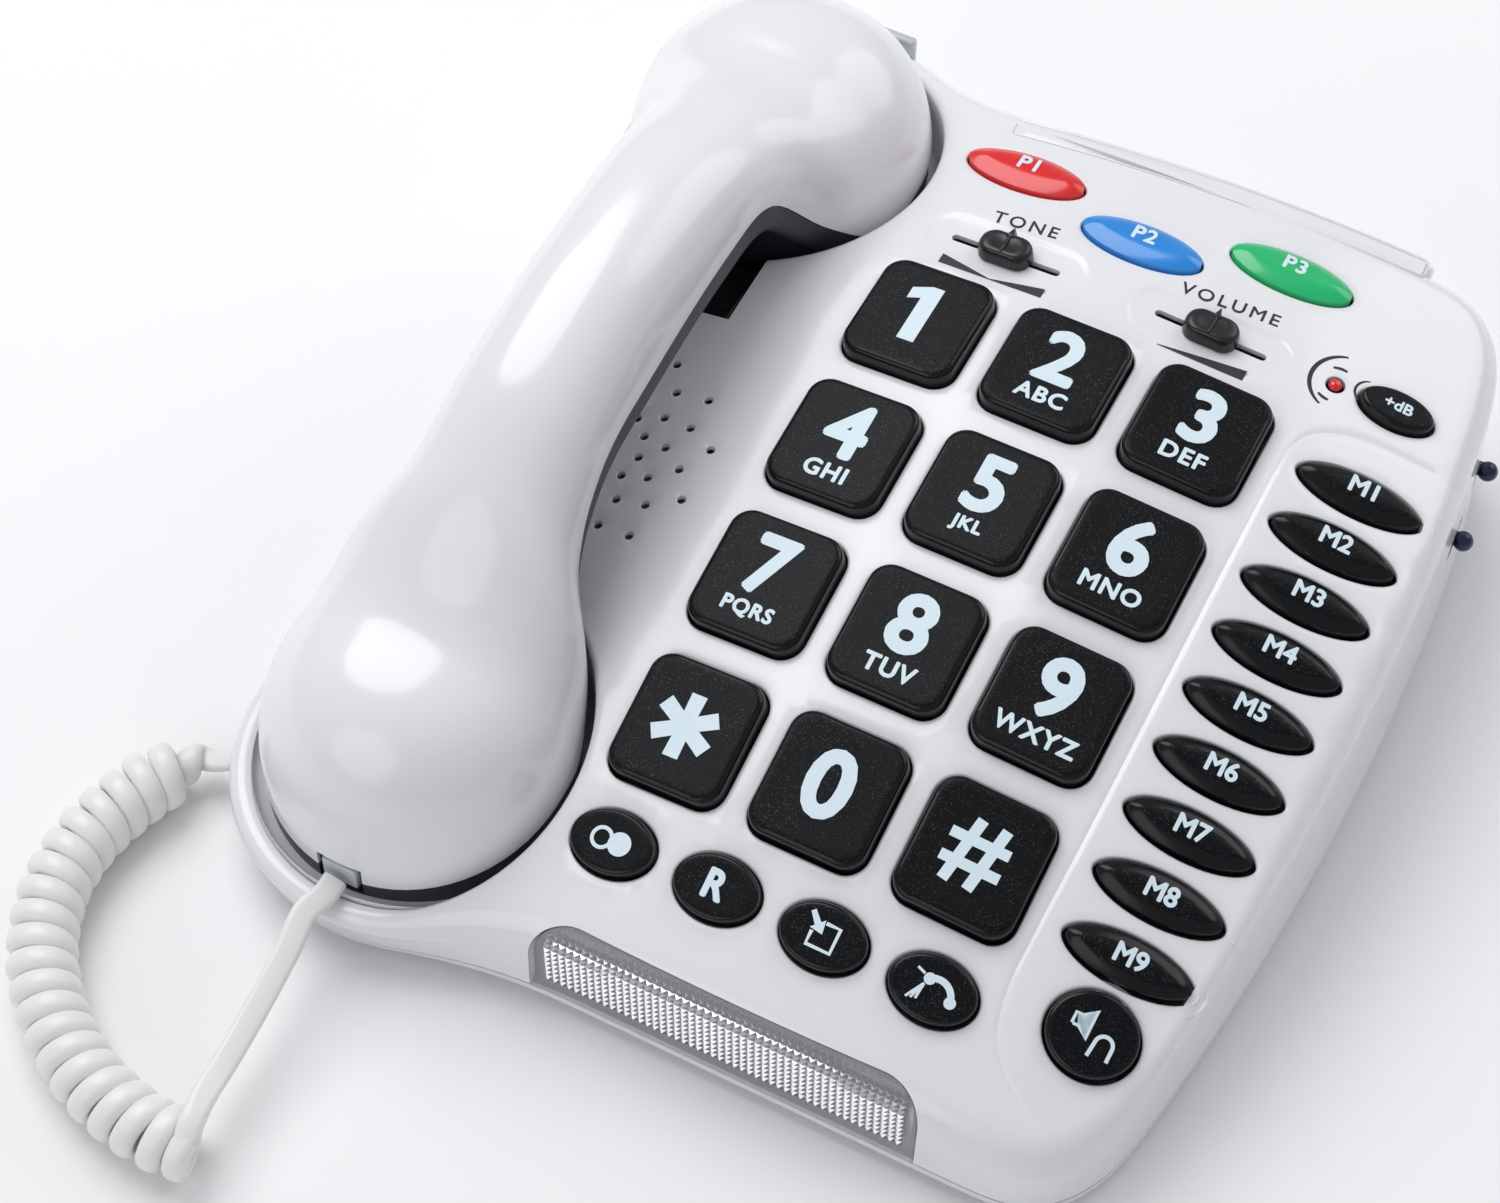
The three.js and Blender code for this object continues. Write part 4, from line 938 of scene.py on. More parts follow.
def make_housing():
    housing = housing_skin().piece("upper_housing")
    apply_modifier(housing, "SOLIDIFY", thickness=WALL * MM, offset=-1, use_even_offset=False)
    lens = housing.copy()
    lens.data = housing.data.copy()
    lens.name = "alert_window"
    bpy.context.scene.collection.objects.link(lens)
    hook_front = EAR_Y - EAR_WELL - 14
    hook_step = EAR_Y - EAR_WELL + 1.2
    hook_back = EAR_Y - EAR_RADIUS + 9
    cutters = [
        lens_prism(0.25, "window_cutter"),
        block("pocket_front", (HOOK_X - 7, hook_front - 1, EAR_FLOOR - 8), (HOOK_X + 7, hook_step + 3, 90)),
        block("pocket_floor", (HOOK_X - 7, hook_step, EAR_FLOOR - 8),
              (HOOK_X + 7, hook_back + 1, EAR_FLOOR + 1)),
        block("jack_cutter", (-5.6, -15, -4), (5.6, 12, 4), base_jack_matrix()),
        block("line_cutter", (-5.6, -15, -4), (5.6, 12, 4), line_jack_matrix()),
    ]
    low, high = ((corner - PLAN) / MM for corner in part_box("handset_wall_hook"))
    cutters.append(block("hook_slot", low - Vector((0.3, 0.3, 1)), high + Vector((0.3, 0.3, 20))))
    for node in ("ringer_volume_switch", "ringer_pitch_switch"):
        spot = plan(node)
        cutters.append(block("side_slot", (spot.x - 8, spot.y - 5.6, SIDE_HEIGHT - 1.5),
                             (spot.x + 16, spot.y + 5.6, SIDE_HEIGHT + 1.5)))
    carve(housing, cutters)
    finished(housing, "base", "white_gloss_plastic", LOOKS["housing"],
             replaces=["base_upper_housing"], angle=32)
    carve(lens, [lens_prism(-0.05, "window_shape")], "INTERSECT")
    finished(lens, "base", "clear_lens_plastic", LOOKS["lens"], replaces=["alert_lens"], angle=32)


def front_profile(x, along, depth):
    """A place in the front wall: up the wall, round its top edge and back along the panel."""
    roll = 6.0
    wall_y = FRONT_EDGE + 0.6
    edge_z = float(base_top(np.array(x), np.array(wall_y + 1.0))) - roll
    wall = edge_z - SKIRT_BOTTOM
    if along < wall:
        return (x, wall_y + depth, SKIRT_BOTTOM + along)
    angle = (along - wall) / roll
    if angle < math.pi / 2:
        reach = roll - depth
        return (x, wall_y + roll - reach * math.cos(angle), edge_z + reach * math.sin(angle))
    y = wall_y + roll + along - wall - roll * math.pi / 2
    return (x, y, float(base_top(np.array(x), np.array(y))) - depth)


def make_prism_field():
    """Rows of small pyramids behind the window."""
    skin = Skin()
    pitch, rise = 1.55, 1.7
    left, right, top = LENS_LEFT + 1.8, LENS_RIGHT - 1.8, 20.4
    corner = 6.0
    for column in range(int((right - left) / pitch)):
        for row in range(int(top / rise)):
            x0, s0 = left + column * pitch, row * rise
            x, s = x0 + pitch / 2, s0 + rise / 2
            over = max(0.0, s - (top - corner))
            side = max(0.0, left + corner - x, x - (right - corner))
            if over and side and math.hypot(over, side) > corner:
                continue
            corners = [front_profile(*c, 1.8) for c in
                       ((x0, s0), (x0 + pitch, s0), (x0 + pitch, s0 + rise), (x0, s0 + rise))]
            ring = skin.ring(corners)
            tip = skin.ring([front_profile(x, s, 1.1)])[0]
            for i in range(4):
                skin.faces.append((ring[i], ring[(i + 1) % 4], tip))
    field = skin.piece("window_prisms")
    field.data.materials.append(LOOKS["prism"])
    field.data.materials.append(LOOKS["prism_painted_shade"])
    # Painted shade: the bottom and right face of each pyramid take the dark copy of the silver, the other
    # faces the bright one.
    for face in field.data.polygons:
        face.material_index = int(face.index % 4 in (0, 1))
    apply_modifier(field, "SOLIDIFY", thickness=0.3 * MM, offset=-1)
    finished(field, "base", "silver_reflector", LOOKS["prism"], angle=0)


def underside_skin():
    skin = Skin()
    low = base_outline(3.6)
    normal = inward(low)
    rings = [np.column_stack([base_outline(5.2), np.full(len(low), 5.2)])]
    for angle in np.radians([0, 30, 60, 90]):
        ring = low + normal * 0.9 * (1 - math.cos(angle))
        rings.append(np.column_stack([ring, np.full(len(low), 3.9 - 0.9 * math.sin(angle))]))
    skin.bridge(rings)
    holes = []

    def recess(outline, depth):
        lip = [np.column_stack([outline(o), np.full(len(outline(o)), z)])
               for o, z in ((0.3, 3.0), (0, 3.3), (0, 3.0 + depth))]
        indices = skin.bridge(lip)
        skin.cap(indices[-1])
        holes.append(lip[0])

    for x, y in screw_places():
        recess(lambda o, x=x, y=y: circle(x, y, 3.6 + o, 24), 1.8)
    for foot in FEET:
        spot = plan(foot)
        recess(lambda o, s=spot: circle(s.x, s.y, 7.2 + o, 40), 0.9)
    for i in range(9):
        spot = (HANDSET_X + 4 + (i - 4) * 4.2, 2.0)
        recess(lambda o, s=spot: rounded_rectangle(1.8, 22, 0.9, o, 4) + np.array(s), 1.5)
    for y in (-38, 62):
        recess(lambda o, y=y: circle(12, y, 4.2 + o, 24), 1.9)
    recess(lambda o: rounded_rectangle(62, 34, 2, o, 4) + np.array((12, 12)), 0.35)
    xs, ys = np.meshgrid(np.arange(-130, 95, 9.0), np.arange(-110, 135, 9.0))
    loose = np.column_stack([xs.ravel(), ys.ravel()])
    keep = inside(loose, rings[-1]) & (distance_to(loose, rings[-1], True) > 2)
    for hole in holes:
        keep &= ~inside(loose, hole) & (distance_to(loose, hole, True) > 1.5)
    skin.fill(rings[-1], holes, loose[keep], lambda x, y: np.full(len(x), 3.0))
    return skin


def screw_places():
    return ((HANDSET_X - 14, MOUTH_Y + 22), (HANDSET_X - 12, EAR_Y - 26), (RIGHT_EDGE - 12, REAR_EDGE - 40),
            (RIGHT_EDGE - 14, FRONT_EDGE + 40), (-8, FRONT_EDGE + 14))


def make_speaker_cloth():
    """Pale cloth behind the speaker holes."""
    skin = Skin()
    rings = []
    for reach in (23.0, 15.0, 8.0):
        ring = circle(HOLE_CENTRE[0], HOLE_CENTRE[1], reach, 48)
        rings.append(np.column_stack([ring, base_top(ring[:, 0], ring[:, 1]) - WALL - 0.35]))
    indices = skin.bridge(rings)
    skin.cap(indices[-1])
    cloth = skin.piece("speaker_cloth")
    apply_modifier(cloth, "SOLIDIFY", thickness=0.3 * MM, offset=-1)
    finished(cloth, "base", "white_satin_plastic", LOOKS["cloth"])


def make_underside():
    floor = underside_skin().piece("lower_housing")
    apply_modifier(floor, "SOLIDIFY", thickness=0.9 * MM, offset=-1)
    finished(floor, "base", "white_satin_plastic", LOOKS["underside"], replaces=["base_lower_housing"])
    label = block("blank_label", (-17.5, -3.5, 3.0), (41.5, 27.5, 3.3))
    apply_modifier(label, "BEVEL", width=0.1 * MM, segments=2)
    finished(label, "base", "label_paper", LOOKS["paper"])
    for foot in FEET:
        spot = middle(foot)
        deselect()
        bpy.ops.mesh.primitive_cylinder_add(vertices=56, radius=6.9 * MM, depth=3.7 * MM,
                                            location=(spot.x, spot.y, 1.85 * MM))
        pad = bpy.context.object
        pad.name = foot.replace("foot", "rubber_foot")
        bpy.ops.object.mode_set(mode="EDIT")
        bpy.ops.mesh.select_all(action="SELECT")
        bpy.ops.mesh.bevel(offset=0.5 * MM, segments=3)
        bpy.ops.object.mode_set(mode="OBJECT")
        finished(pad, "base", "foot_rubber", LOOKS["rubber"], replaces=[foot])
    for i, (x, y) in enumerate(screw_places()):
        deselect()
        bpy.ops.mesh.primitive_cylinder_add(vertices=32, radius=2.8 * MM, depth=1.3 * MM,
                                            location=Vector((x, y, 4.3)) * MM + PLAN)
        screw = bpy.context.object
        screw.name = f"housing_screw_{i + 1}"
        settle(screw)
        apply_modifier(screw, "BEVEL", width=0.3 * MM, segments=2)
        carve(screw, [block("cross_a", (x - 1.7, y - 0.3, 3), (x + 1.7, y + 0.3, 4.3)),
                      block("cross_b", (x - 0.3, y - 1.7, 3), (x + 0.3, y + 1.7, 4.3))])
        finished(screw, "base", "screw_steel", LOOKS["steel"])


def make_strip():
    """Clear strip in its shallow seat along the rear edge."""
    skin = Skin()
    rings = []
    for outset, lift in ((-0.15, -0.5), (-0.15, -0.08), (-0.35, 0.05)):
        outline = strip_outline(outset) + np.array(STRIP_PLACE)
        rings.append(np.column_stack([outline, base_top(outline[:, 0], outline[:, 1]) + lift]))
    indices = skin.bridge(rings)
    skin.cap(indices[0], True)
    skin.cap(indices[-1])
    strip = skin.piece("rear_strip")
    finished(strip, "base", "white_gloss_plastic", LOOKS["housing"])


# ---------------------------------------------------------------- keys


def grow_key(name, kind):
    """A key grown from its outline by extruding and drawing in, ring by ring."""
    shape, rise = KEY_SHAPES[kind]
    outline = shape()
    width, depth = np.ptp(outline[:, 0]), np.ptp(outline[:, 1])
    deselect()
    bpy.ops.mesh.primitive_circle_add(vertices=len(outline), radius=1, fill_type="NGON")
    key = bpy.context.object
    key.name = name
    for vertex, (x, y) in zip(key.data.vertices, outline):
        vertex.co = (x * MM, y * MM, -2.3 * MM)
    domed = {"memory": (1.5, 3.9), "preset": (1.2, 4.6)}.get(kind)
    steps = [(0.0, -1.0)]
    if domed:
        height, reach = domed
        steps.append((0.06, rise - height))
        for t in np.linspace(0.04, 1, 11):
            steps.append((0.06 + reach * t, rise - height * (1 - t) ** 2))
    else:
        round_edge = 1.25 if kind == "number" else 1.0
        steps.append((0.1, rise - round_edge))
        for angle in np.radians(np.linspace(15, 90, 6)):
            steps.append((0.1 + round_edge * (1 - math.cos(angle)),
                          rise - round_edge * (1 - math.sin(angle))))
        last = steps[-1][0]
        steps += [(last + 0.5, rise + 0.01), (last + 2.0, rise - 0.03)]
    bpy.ops.object.mode_set(mode="EDIT")
    bpy.ops.mesh.select_all(action="SELECT")
    before, level = 0.0, -2.3
    for inset, z in steps:
        bpy.ops.mesh.extrude_region_move(TRANSFORM_OT_translate={"value": (0, 0, (z - level) * MM)})
        grow = ((width - 2 * inset) / (width - 2 * before), (depth - 2 * inset) / (depth - 2 * before), 1)
        bpy.ops.transform.resize(value=grow, center_override=(0, 0, 0))
        before, level = inset, z
    bpy.ops.mesh.select_all(action="SELECT")
    bpy.ops.mesh.normals_make_consistent(inside=False)
    bpy.ops.object.mode_set(mode="OBJECT")
    return key


def key_finish(kind, name):
    if kind == "preset":
        colour = {"1": "red", "2": "blue", "3": "green"}[name[-1]]
        return f"{colour}_key_plastic", (LOOKS[colour],)
    return "black_key_plastic", (LOOKS["key_side"], LOOKS["key_top"])


def make_keys():
    models = {}
    for name, u, v, kind in key_list():
        if kind not in models:
            models[kind] = grow_key(f"{kind}_key_model", kind)
        key = models[kind].copy()
        key.data = models[kind].data.copy()
        key.name = name.replace("key", "keycap", 1)
        bpy.context.scene.collection.objects.link(key)
        slot, looks = key_finish(kind, name)
        for look in looks:
            key.data.materials.append(look)
        if len(looks) == 2:
            for face in key.data.polygons:
                face.material_index = int(face.normal.z > 0.93 and face.center.z > 0)
        key.matrix_world = panel_matrix(u, v)
        finished(key, name, slot, replaces=[name], angle=50)
    for model in models.values():
        bpy.data.objects.remove(model)


# ---------------------------------------------------------------- lettering and signs
# Signs are drawn in millimetres from their own middle, and lie a hair's breadth above the surface.

INK_HEIGHT = 0.05


def ink_shape(name, outlines):
    """One thin closed shape joined from overlapping outlines."""
    strokes = []
    for outline in outlines:
        outline = np.asarray(outline, float)
        area = np.sum(outline[:, 0] * np.roll(outline[:, 1], -1) - np.roll(outline[:, 0], -1) * outline[:, 1])
        if area < 0:
            outline = outline[::-1]
        outline = outline - np.array(PLAN)[:2] / MM
        skin = Skin()
        rings = [np.column_stack([outline, np.full(len(outline), z)]) for z in (-0.02, INK_HEIGHT)]
        indices = skin.bridge(rings)
        skin.cap(indices[0], True)
        skin.cap(indices[1])
        piece = skin.piece(name)
        apply_modifier(piece, "TRIANGULATE")
        strokes.append(piece)
    carve(strokes[0], strokes[1:], "UNION")
    strokes[0].name = name
    return strokes[0]


def stroke(points, width, taper=0.0):
    """The outline of a stroke along a line, narrower at its ends by the taper."""
    points = np.asarray(points, float)
    along = np.gradient(points, axis=0)
    normal = np.stack([-along[:, 1], along[:, 0]], axis=-1)
    normal /= np.linalg.norm(normal, axis=1)[:, None]
    place_on = np.linspace(-1, 1, len(points))
    half = (width / 2 * (1 - taper * place_on**2))[:, None]
    return np.vstack([points + normal * half, (points - normal * half)[::-1]])


def arc_line(x, y, radius, start, finish, steps=14):
    angles = np.radians(np.linspace(start, finish, steps))
    return np.stack([x + radius * np.cos(angles), y + radius * np.sin(angles)], axis=-1)


def lettering(name, words, height, bold, narrow=1.0, spacing=1.0):
    """Raised words of a given capital height, centred, thickened by copies set a little apart."""
    deselect()
    bpy.ops.object.text_add()
    text = bpy.context.object
    text.data.body = words
    text.data.size = 0.01
    text.data.space_character = spacing
    text.data.resolution_u = 4
    text.data.extrude = 0.0001
    bpy.ops.object.convert(target="MESH")
    text = bpy.context.object
    text.name = name
    points = np.array([v.co for v in text.data.vertices])
    low, high = points.min(0), points.max(0)
    grow = (height - 2 * bold) * MM / (high[1] - low[1])
    centre = (low + high) / 2
    for vertex in text.data.vertices:
        x, y, z = Vector(vertex.co) - Vector(centre)
        vertex.co = (x * grow * narrow, y * grow, (INK_HEIGHT if z > 0 else -0.02) * MM)
    copies = []
    for i, (dx, dy) in enumerate(((-1, 0), (1, 0), (0, 1), (0, -1),
                                  (-0.7, 0.7), (0.7, 0.7), (0.7, -0.7), (-0.7, -0.7))):
        copy = text.copy()
        copy.data = text.data.copy()
        copy.data.transform(Matrix.Translation(Vector((dx * bold, dy * bold, -0.003 * (i + 1))) * MM))
        bpy.context.scene.collection.objects.link(copy)
        copies.append(copy)
    deselect()
    for piece in copies + [text]:
        piece.select_set(True)
    bpy.context.view_layer.objects.active = text
    bpy.ops.object.join()
    return bpy.context.object


def digit_one():
    """The figure 1 with its flag."""
    return [[(-1.6, -7.2), (2.1, -7.2), (2.1, 7.2), (-0.4, 7.2), (-4.3, 5.6), (-4.3, 2.7), (-1.6, 3.7)]]


def lay_on_key(sign, u, v, lift, dx=0.0, dy=0.0):
    sign.data.transform(panel_matrix(u, v, lift) @ Matrix.Translation((dx * MM, dy * MM, 0)))


def lay_on_panel(sign, u, v, turn=0.0):
    """Bends a sign onto the crown round a place on the panel."""
    points = np.array([vertex.co for vertex in sign.data.vertices]) / MM
    cosine, sine = math.cos(turn), math.sin(turn)
    x = u + points[:, 0] * cosine - points[:, 1] * sine
    y = v + points[:, 0] * sine + points[:, 1] * cosine
    laid = place(panel_point(x, y, crown(x, y) + points[:, 2] + 0.02))
    for vertex, point in zip(sign.data.vertices, laid):
        vertex.co = point


def asterisk_bars():
    bars = []
    for angle in (90, 30, 150):
        direction = np.array([math.cos(math.radians(angle)), math.sin(math.radians(angle))])
        bars.append(stroke([-direction * 6.6, direction * 0, direction * 6.6], 2.9, -0.12))
    return bars


def hash_bars():
    bars = [stroke([(x - 1.1, -6.6), (x + 1.1, 6.6)], 2.2) for x in (-2.5, 2.5)]
    return bars + [stroke([(-6, y), (6, y)], 2.1) for y in (-2.4, 2.4)]


def mute_sign():
    ring = [stroke(arc_line(-1.9, 0, 1.95, 20, 340, 30), 0.75)]
    return ring + [circle(1.9, 0, 2.35, 30)]


def store_sign():
    frame_line = stroke([(-0.3, 2.3), (2.6, 2.3), (2.6, -2.6), (-2.3, -2.6), (-2.3, 0.1)], 0.75)
    arrow = [(-3.9, 3.3), (-3.2, 4.0), (-1.3, 2.1), (-0.6, 2.8), (-0.2, 0.1), (-2.9, 0.5), (-2.2, 1.2)]
    return [frame_line, arrow[::-1]]


def redial_sign():
    handle = stroke(arc_line(0.6, -1.4, 3.4, 10, 120, 14), 1.3)
    ends = [circle(4.0, -1.1, 1.15, 16), circle(-1.2, 1.4, 1.15, 16)]
    rays = [stroke([(-1.8, 0.2), (-3.9 + 0.9 * i, -3.4 + 0.2 * i)], 0.5) for i in range(3)]
    return [handle] + ends + rays + [stroke([(-2.4, 1.9), (-4.1, 2.5)], 0.5)]


def speaker_sign():
    cone = stroke([(-4.4, 0.2), (-4.4, 2.4), (-3.0, 2.4), (-0.9, 4.4),
                   (-0.9, -1.6), (-3.0, 0.2), (-4.2, 0.2)], 0.6)
    cord = stroke(np.vstack([[(0.6, -4.0)], arc_line(2.6, -1.0, 1.7, 180, 0, 12), [(4.3, -3.6)]]), 0.75)
    return [cone, cord]


def make_legends():
    places = {name: (u, v, kind) for name, u, v, kind in key_list()}
    letters = {"2": "ABC", "3": "DEF", "4": "GHI", "5": "JKL",
               "6": "MNO", "7": "PQRS", "8": "TUV", "9": "WXYZ"}
    for digit in "1234567890":
        name = f"key_{digit}"
        u, v, kind = places[name]
        if digit == "1":
            sign = ink_shape("legend_1", digit_one())
        else:
            sign = lettering(f"legend_{digit}", digit, 13.2 if digit in letters else 14.4, 0.62)
        lay_on_key(sign, u, v, KEY_SHAPES[kind][1], 0, 2.6 if digit in letters else 0.6)
        if digit in letters:
            small = lettering(f"letters_{digit}", letters[digit], 3.9, 0.17, 1.0, 1.12)
            lay_on_key(small, u, v, KEY_SHAPES[kind][1], 0, -7.4)
            small.select_set(True)
            sign.select_set(True)
            bpy.context.view_layer.objects.active = sign
            bpy.ops.object.join()
        finished(sign, name, "legend_white", LOOKS["legend"], angle=0)
    signs = {
        "key_star": (ink_shape("legend_star", asterisk_bars()), 0, 0),
        "key_hash": (ink_shape("legend_hash", hash_bars()), 0, 0),
        "key_mute": (ink_shape("legend_mute", mute_sign()), 0, 0),
        "key_store": (ink_shape("legend_store", store_sign()), 0, 0),
        "key_redial": (ink_shape("legend_redial", redial_sign()), 0, 0),
        "key_speaker": (ink_shape("legend_speaker", speaker_sign()), 0, 0),
        "key_recall": (lettering("legend_recall", "R", 6.0, 0.3, 0.9), 0, 0.3),
        "key_boost": (lettering("legend_boost", "+dB", 2.7, 0.1), 0, 0.2),
    }
    for i in range(9):
        signs[f"key_memory_{i + 1}"] = (lettering(f"legend_memory_{i + 1}", f"M{i + 1}", 4.0, 0.17), 0, 0.7)
    for i in range(3):
        preset = lettering(f"legend_preset_{i + 1}", f"P{i + 1}", 3.8, 0.16, 1, 1.1)
        signs[f"key_preset_{i + 1}"] = (preset, 0, 1.3)
    for name, (sign, dx, dy) in signs.items():
        u, v, kind = places[name]
        lift = KEY_SHAPES[kind][1] + (0.0 if kind not in ("memory", "preset") else -0.02)
        lay_on_key(sign, u, v, lift, dx, dy)
        finished(sign, name, "legend_white", LOOKS["legend"], angle=0)


def make_prints():
    """Words and signs printed on the panel beside the sliders and the lamp."""
    for word, u in (("TONE", -22.2), ("VOLUME", 22.9)):
        sign = lettering(f"print_{word.lower()}", word, 3.1, 0.06, 1.05, 1.3)
        lay_on_panel(sign, u, SLIDER_Y + 9.0, math.radians(4))
        finished(sign, "base", "print_black", LOOKS["print"], angle=0)
    shelf = -7.6
    half = np.linspace(0, 11.4, 6)
    swell = 0.12 + 2.3 * half / 11.4
    right_wing = np.vstack([np.column_stack([half, 0 * half]), np.column_stack([half, swell])[::-1]])
    left_wing = (right_wing * [-1, 1])[::-1]
    full = np.linspace(0, 18.4, 8)
    grow = 0.1 + 2.5 * full / 18.4
    wedge = np.vstack([np.column_stack([full - 9.2, 0 * full]), np.column_stack([full - 9.2, grow])[::-1]])
    prints = [
        ("print_tone_wedge", [left_wing, right_wing], -22.6, SLIDER_Y + shelf),
        ("print_volume_wedge", [wedge], 23.4, SLIDER_Y + shelf),
        ("print_lamp_arc", [stroke(arc_line(0, 0, 7.2, 108, 246, 22), 0.95, 0.55)],
         LED[0] + 1.9, LED[1] + 0.7),
        ("print_lamp_dashes", [stroke(arc_line(0, 0, 4.2, 78, 118, 6), 0.7, 0.3),
                               stroke(arc_line(0, 0, 4.2, 238, 272, 6), 0.7, 0.3)], *LED),
        ("print_key_arc", [stroke(arc_line(0, 0, 2.9, 108, 246, 10), 0.55, 0.5)], LED[0] + 6.6, LED[1] + 1.6),
    ]
    for name, outlines, u, v in prints:
        sign = ink_shape(name, outlines)
        lay_on_panel(sign, u, v)
        finished(sign, "base", "print_black", LOOKS["print"], angle=0)


# ---------------------------------------------------------------- sliders, switches and lamp


def make_knobs():
    """Rounded slider knobs, waisted in the middle, each with a pointer towards its word."""
    for name, sign in (("tone", -1), ("volume", 1)):
        matrix = panel_matrix(sign * SLIDER_X, SLIDER_Y)
        deselect()
        bpy.ops.mesh.primitive_circle_add(vertices=48, radius=1, fill_type="NGON")
        knob = bpy.context.object
        knob.name = f"{name}_knob"
        for vertex, (x, y) in zip(knob.data.vertices, rounded_rectangle(11.6, 6.8, 3.2, 0, 12)):
            pinch = 1 - 0.07 * math.exp(-(x / 2.0) ** 2)
            vertex.co = (x * MM, y * pinch * MM, -0.3 * MM)
        bpy.ops.object.mode_set(mode="EDIT")
        bpy.ops.mesh.select_all(action="SELECT")
        level, before = -0.3, 1.0
        for z, share in ((0.5, 1.0), (2.0, 0.97), (2.6, 0.93), (3.0, 0.85),
                         (3.2, 0.72), (3.1, 0.5), (2.95, 0.25)):
            bpy.ops.mesh.extrude_region_move(TRANSFORM_OT_translate={"value": (0, 0, (z - level) * MM)})
            bpy.ops.transform.resize(value=(share / before, share / before, 1), center_override=(0, 0, 0))
            level, before = z, share
        bpy.ops.mesh.select_all(action="SELECT")
        bpy.ops.mesh.normals_make_consistent(inside=False)
        bpy.ops.object.mode_set(mode="OBJECT")
        knob.data.transform(matrix)
        finished(knob, f"{name}_slider", "black_knob_plastic", LOOKS["knob"],
                 replaces=[f"{name}_slider_knob"], angle=60)
        deselect()
        bpy.ops.mesh.primitive_cone_add(vertices=3, radius1=1.9 * MM, radius2=1.2 * MM, depth=3.2 * MM)
        pointer = bpy.context.object
        pointer.name = f"{name}_pointer"
        pointer.data.transform(Matrix.Diagonal((0.85, 1.5, 1, 1)))
        apply_modifier(pointer, "BEVEL", width=0.35 * MM, segments=3)
        pointer.data.transform(matrix @ Matrix.Translation((0, 2.7 * MM, 2.0 * MM)))
        finished(pointer, f"{name}_slider", "black_knob_plastic", LOOKS["knob"], angle=40)
        ridge = block(f"{name}_ridge", (-0.35, -2.6, 2.8), (0.35, 2.4, 3.5))
        ridge.data.transform(Matrix.Translation(-PLAN))
        apply_modifier(ridge, "BEVEL", width=0.3 * MM, segments=3)
        ridge.data.transform(matrix)
        finished(ridge, f"{name}_slider", "black_knob_plastic", LOOKS["knob"], angle=40)


def make_side_switches():
    for node in ("ringer_volume_switch", "ringer_pitch_switch"):
        body = node.replace("_switch", "")
        low, high = ((corner - PLAN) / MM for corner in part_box(node))
        y = (low.y + high.y) / 2
        deselect()
        bpy.ops.mesh.primitive_uv_sphere_add(segments=32, ring_count=16, radius=2.1 * MM,
                                             location=Vector((high.x - 1.5, y, SIDE_HEIGHT)) * MM + PLAN)
        nub = bpy.context.object
        nub.name = f"{body}_nub"
        finished(nub, body, "navy_switch_plastic", LOOKS["navy"], replaces=[node], angle=80)
        stem = block(f"{body}_stem", (low.x + 1, y - 1.2, SIDE_HEIGHT - 1.1),
                     (high.x - 2, y + 1.2, SIDE_HEIGHT + 1.1))
        apply_modifier(stem, "BEVEL", width=0.3 * MM, segments=2)
        finished(stem, body, "navy_switch_plastic", LOOKS["navy"])
        slide = block(f"{body}_slide", (low.x, y - 3.4, SIDE_HEIGHT - 2.9),
                      (low.x + 1.8, y + 3.4, SIDE_HEIGHT + 2.9))
        apply_modifier(slide, "BEVEL", width=0.3 * MM, segments=2)
        finished(slide, body, "navy_switch_plastic", LOOKS["navy"])


def make_lamp():
    deselect()
    bpy.ops.mesh.primitive_uv_sphere_add(segments=32, ring_count=16, radius=1.35 * MM)
    lamp = bpy.context.object
    lamp.name = "boost_lamp"
    lamp.data.transform(Matrix.Diagonal((1, 1, 0.7, 1)))
    lamp.data.transform(panel_matrix(*LED, -0.2))
    finished(lamp, "base", "red_led_plastic", LOOKS["led"], replaces=["boost_led"], angle=80)


def make_hook():
    """The hook switch's plunger and the small tab that holds a hanging handset."""
    low, high = ((corner - PLAN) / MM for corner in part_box("hook_switch_plunger"))
    step = EAR_Y - EAR_WELL + 1.2
    body = block("hook_plunger", low, (high.x, step, high.z))
    nose = block("hook_nose", (low.x, step - 2, low.z + 5), (high.x, high.y, EAR_FLOOR))
    carve(body, [nose], "UNION")
    apply_modifier(body, "BEVEL", width=1.1 * MM, segments=4, limit_method="ANGLE")
    finished(body, "hook_switch", "black_knob_plastic", LOOKS["knob"], replaces=["hook_switch_plunger"])
    low, high = ((corner - PLAN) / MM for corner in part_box("handset_wall_hook"))
    tab = block("wall_hook", low, high)
    apply_modifier(tab, "BEVEL", width=0.7 * MM, segments=4, limit_method="ANGLE")
    finished(tab, "base", "translucent_grey_plastic", LOOKS["hook"], replaces=["handset_wall_hook"])


def make_inside():
    """Finishes on the pieces that show only through openings, and the jacks' contacts."""
    for node, look in (("keypad_contact_mat", "silicone"), ("main_circuit_board", "board"),
                       ("alert_reflector", "reflector"), ("loudspeaker", "hollow"),
                       ("receiver_capsule", "jack"),
                       ("microphone_capsule", "jack"), ("base_cord_jack", "jack"), ("line_jack", "jack"),
                       ("handset_cord_jack", "jack")):
        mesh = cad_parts[node].data
        mesh.materials.clear()
        mesh.materials.append(LOOKS[look])
    matrix = line_jack_matrix()
    for i in range(6):
        x = (i - 2.5) * 1.02
        wire = block(f"line_contact_{i + 1}", (x - 0.2, -9.5, 1.6), (x + 0.2, -1.2, 1.95), matrix)
        apply_modifier(wire, "BEVEL", width=0.12 * MM, segments=2)
        finished(wire, "base", "contact_gold", LOOKS["gold"])


# ---------------------------------------------------------------- handset

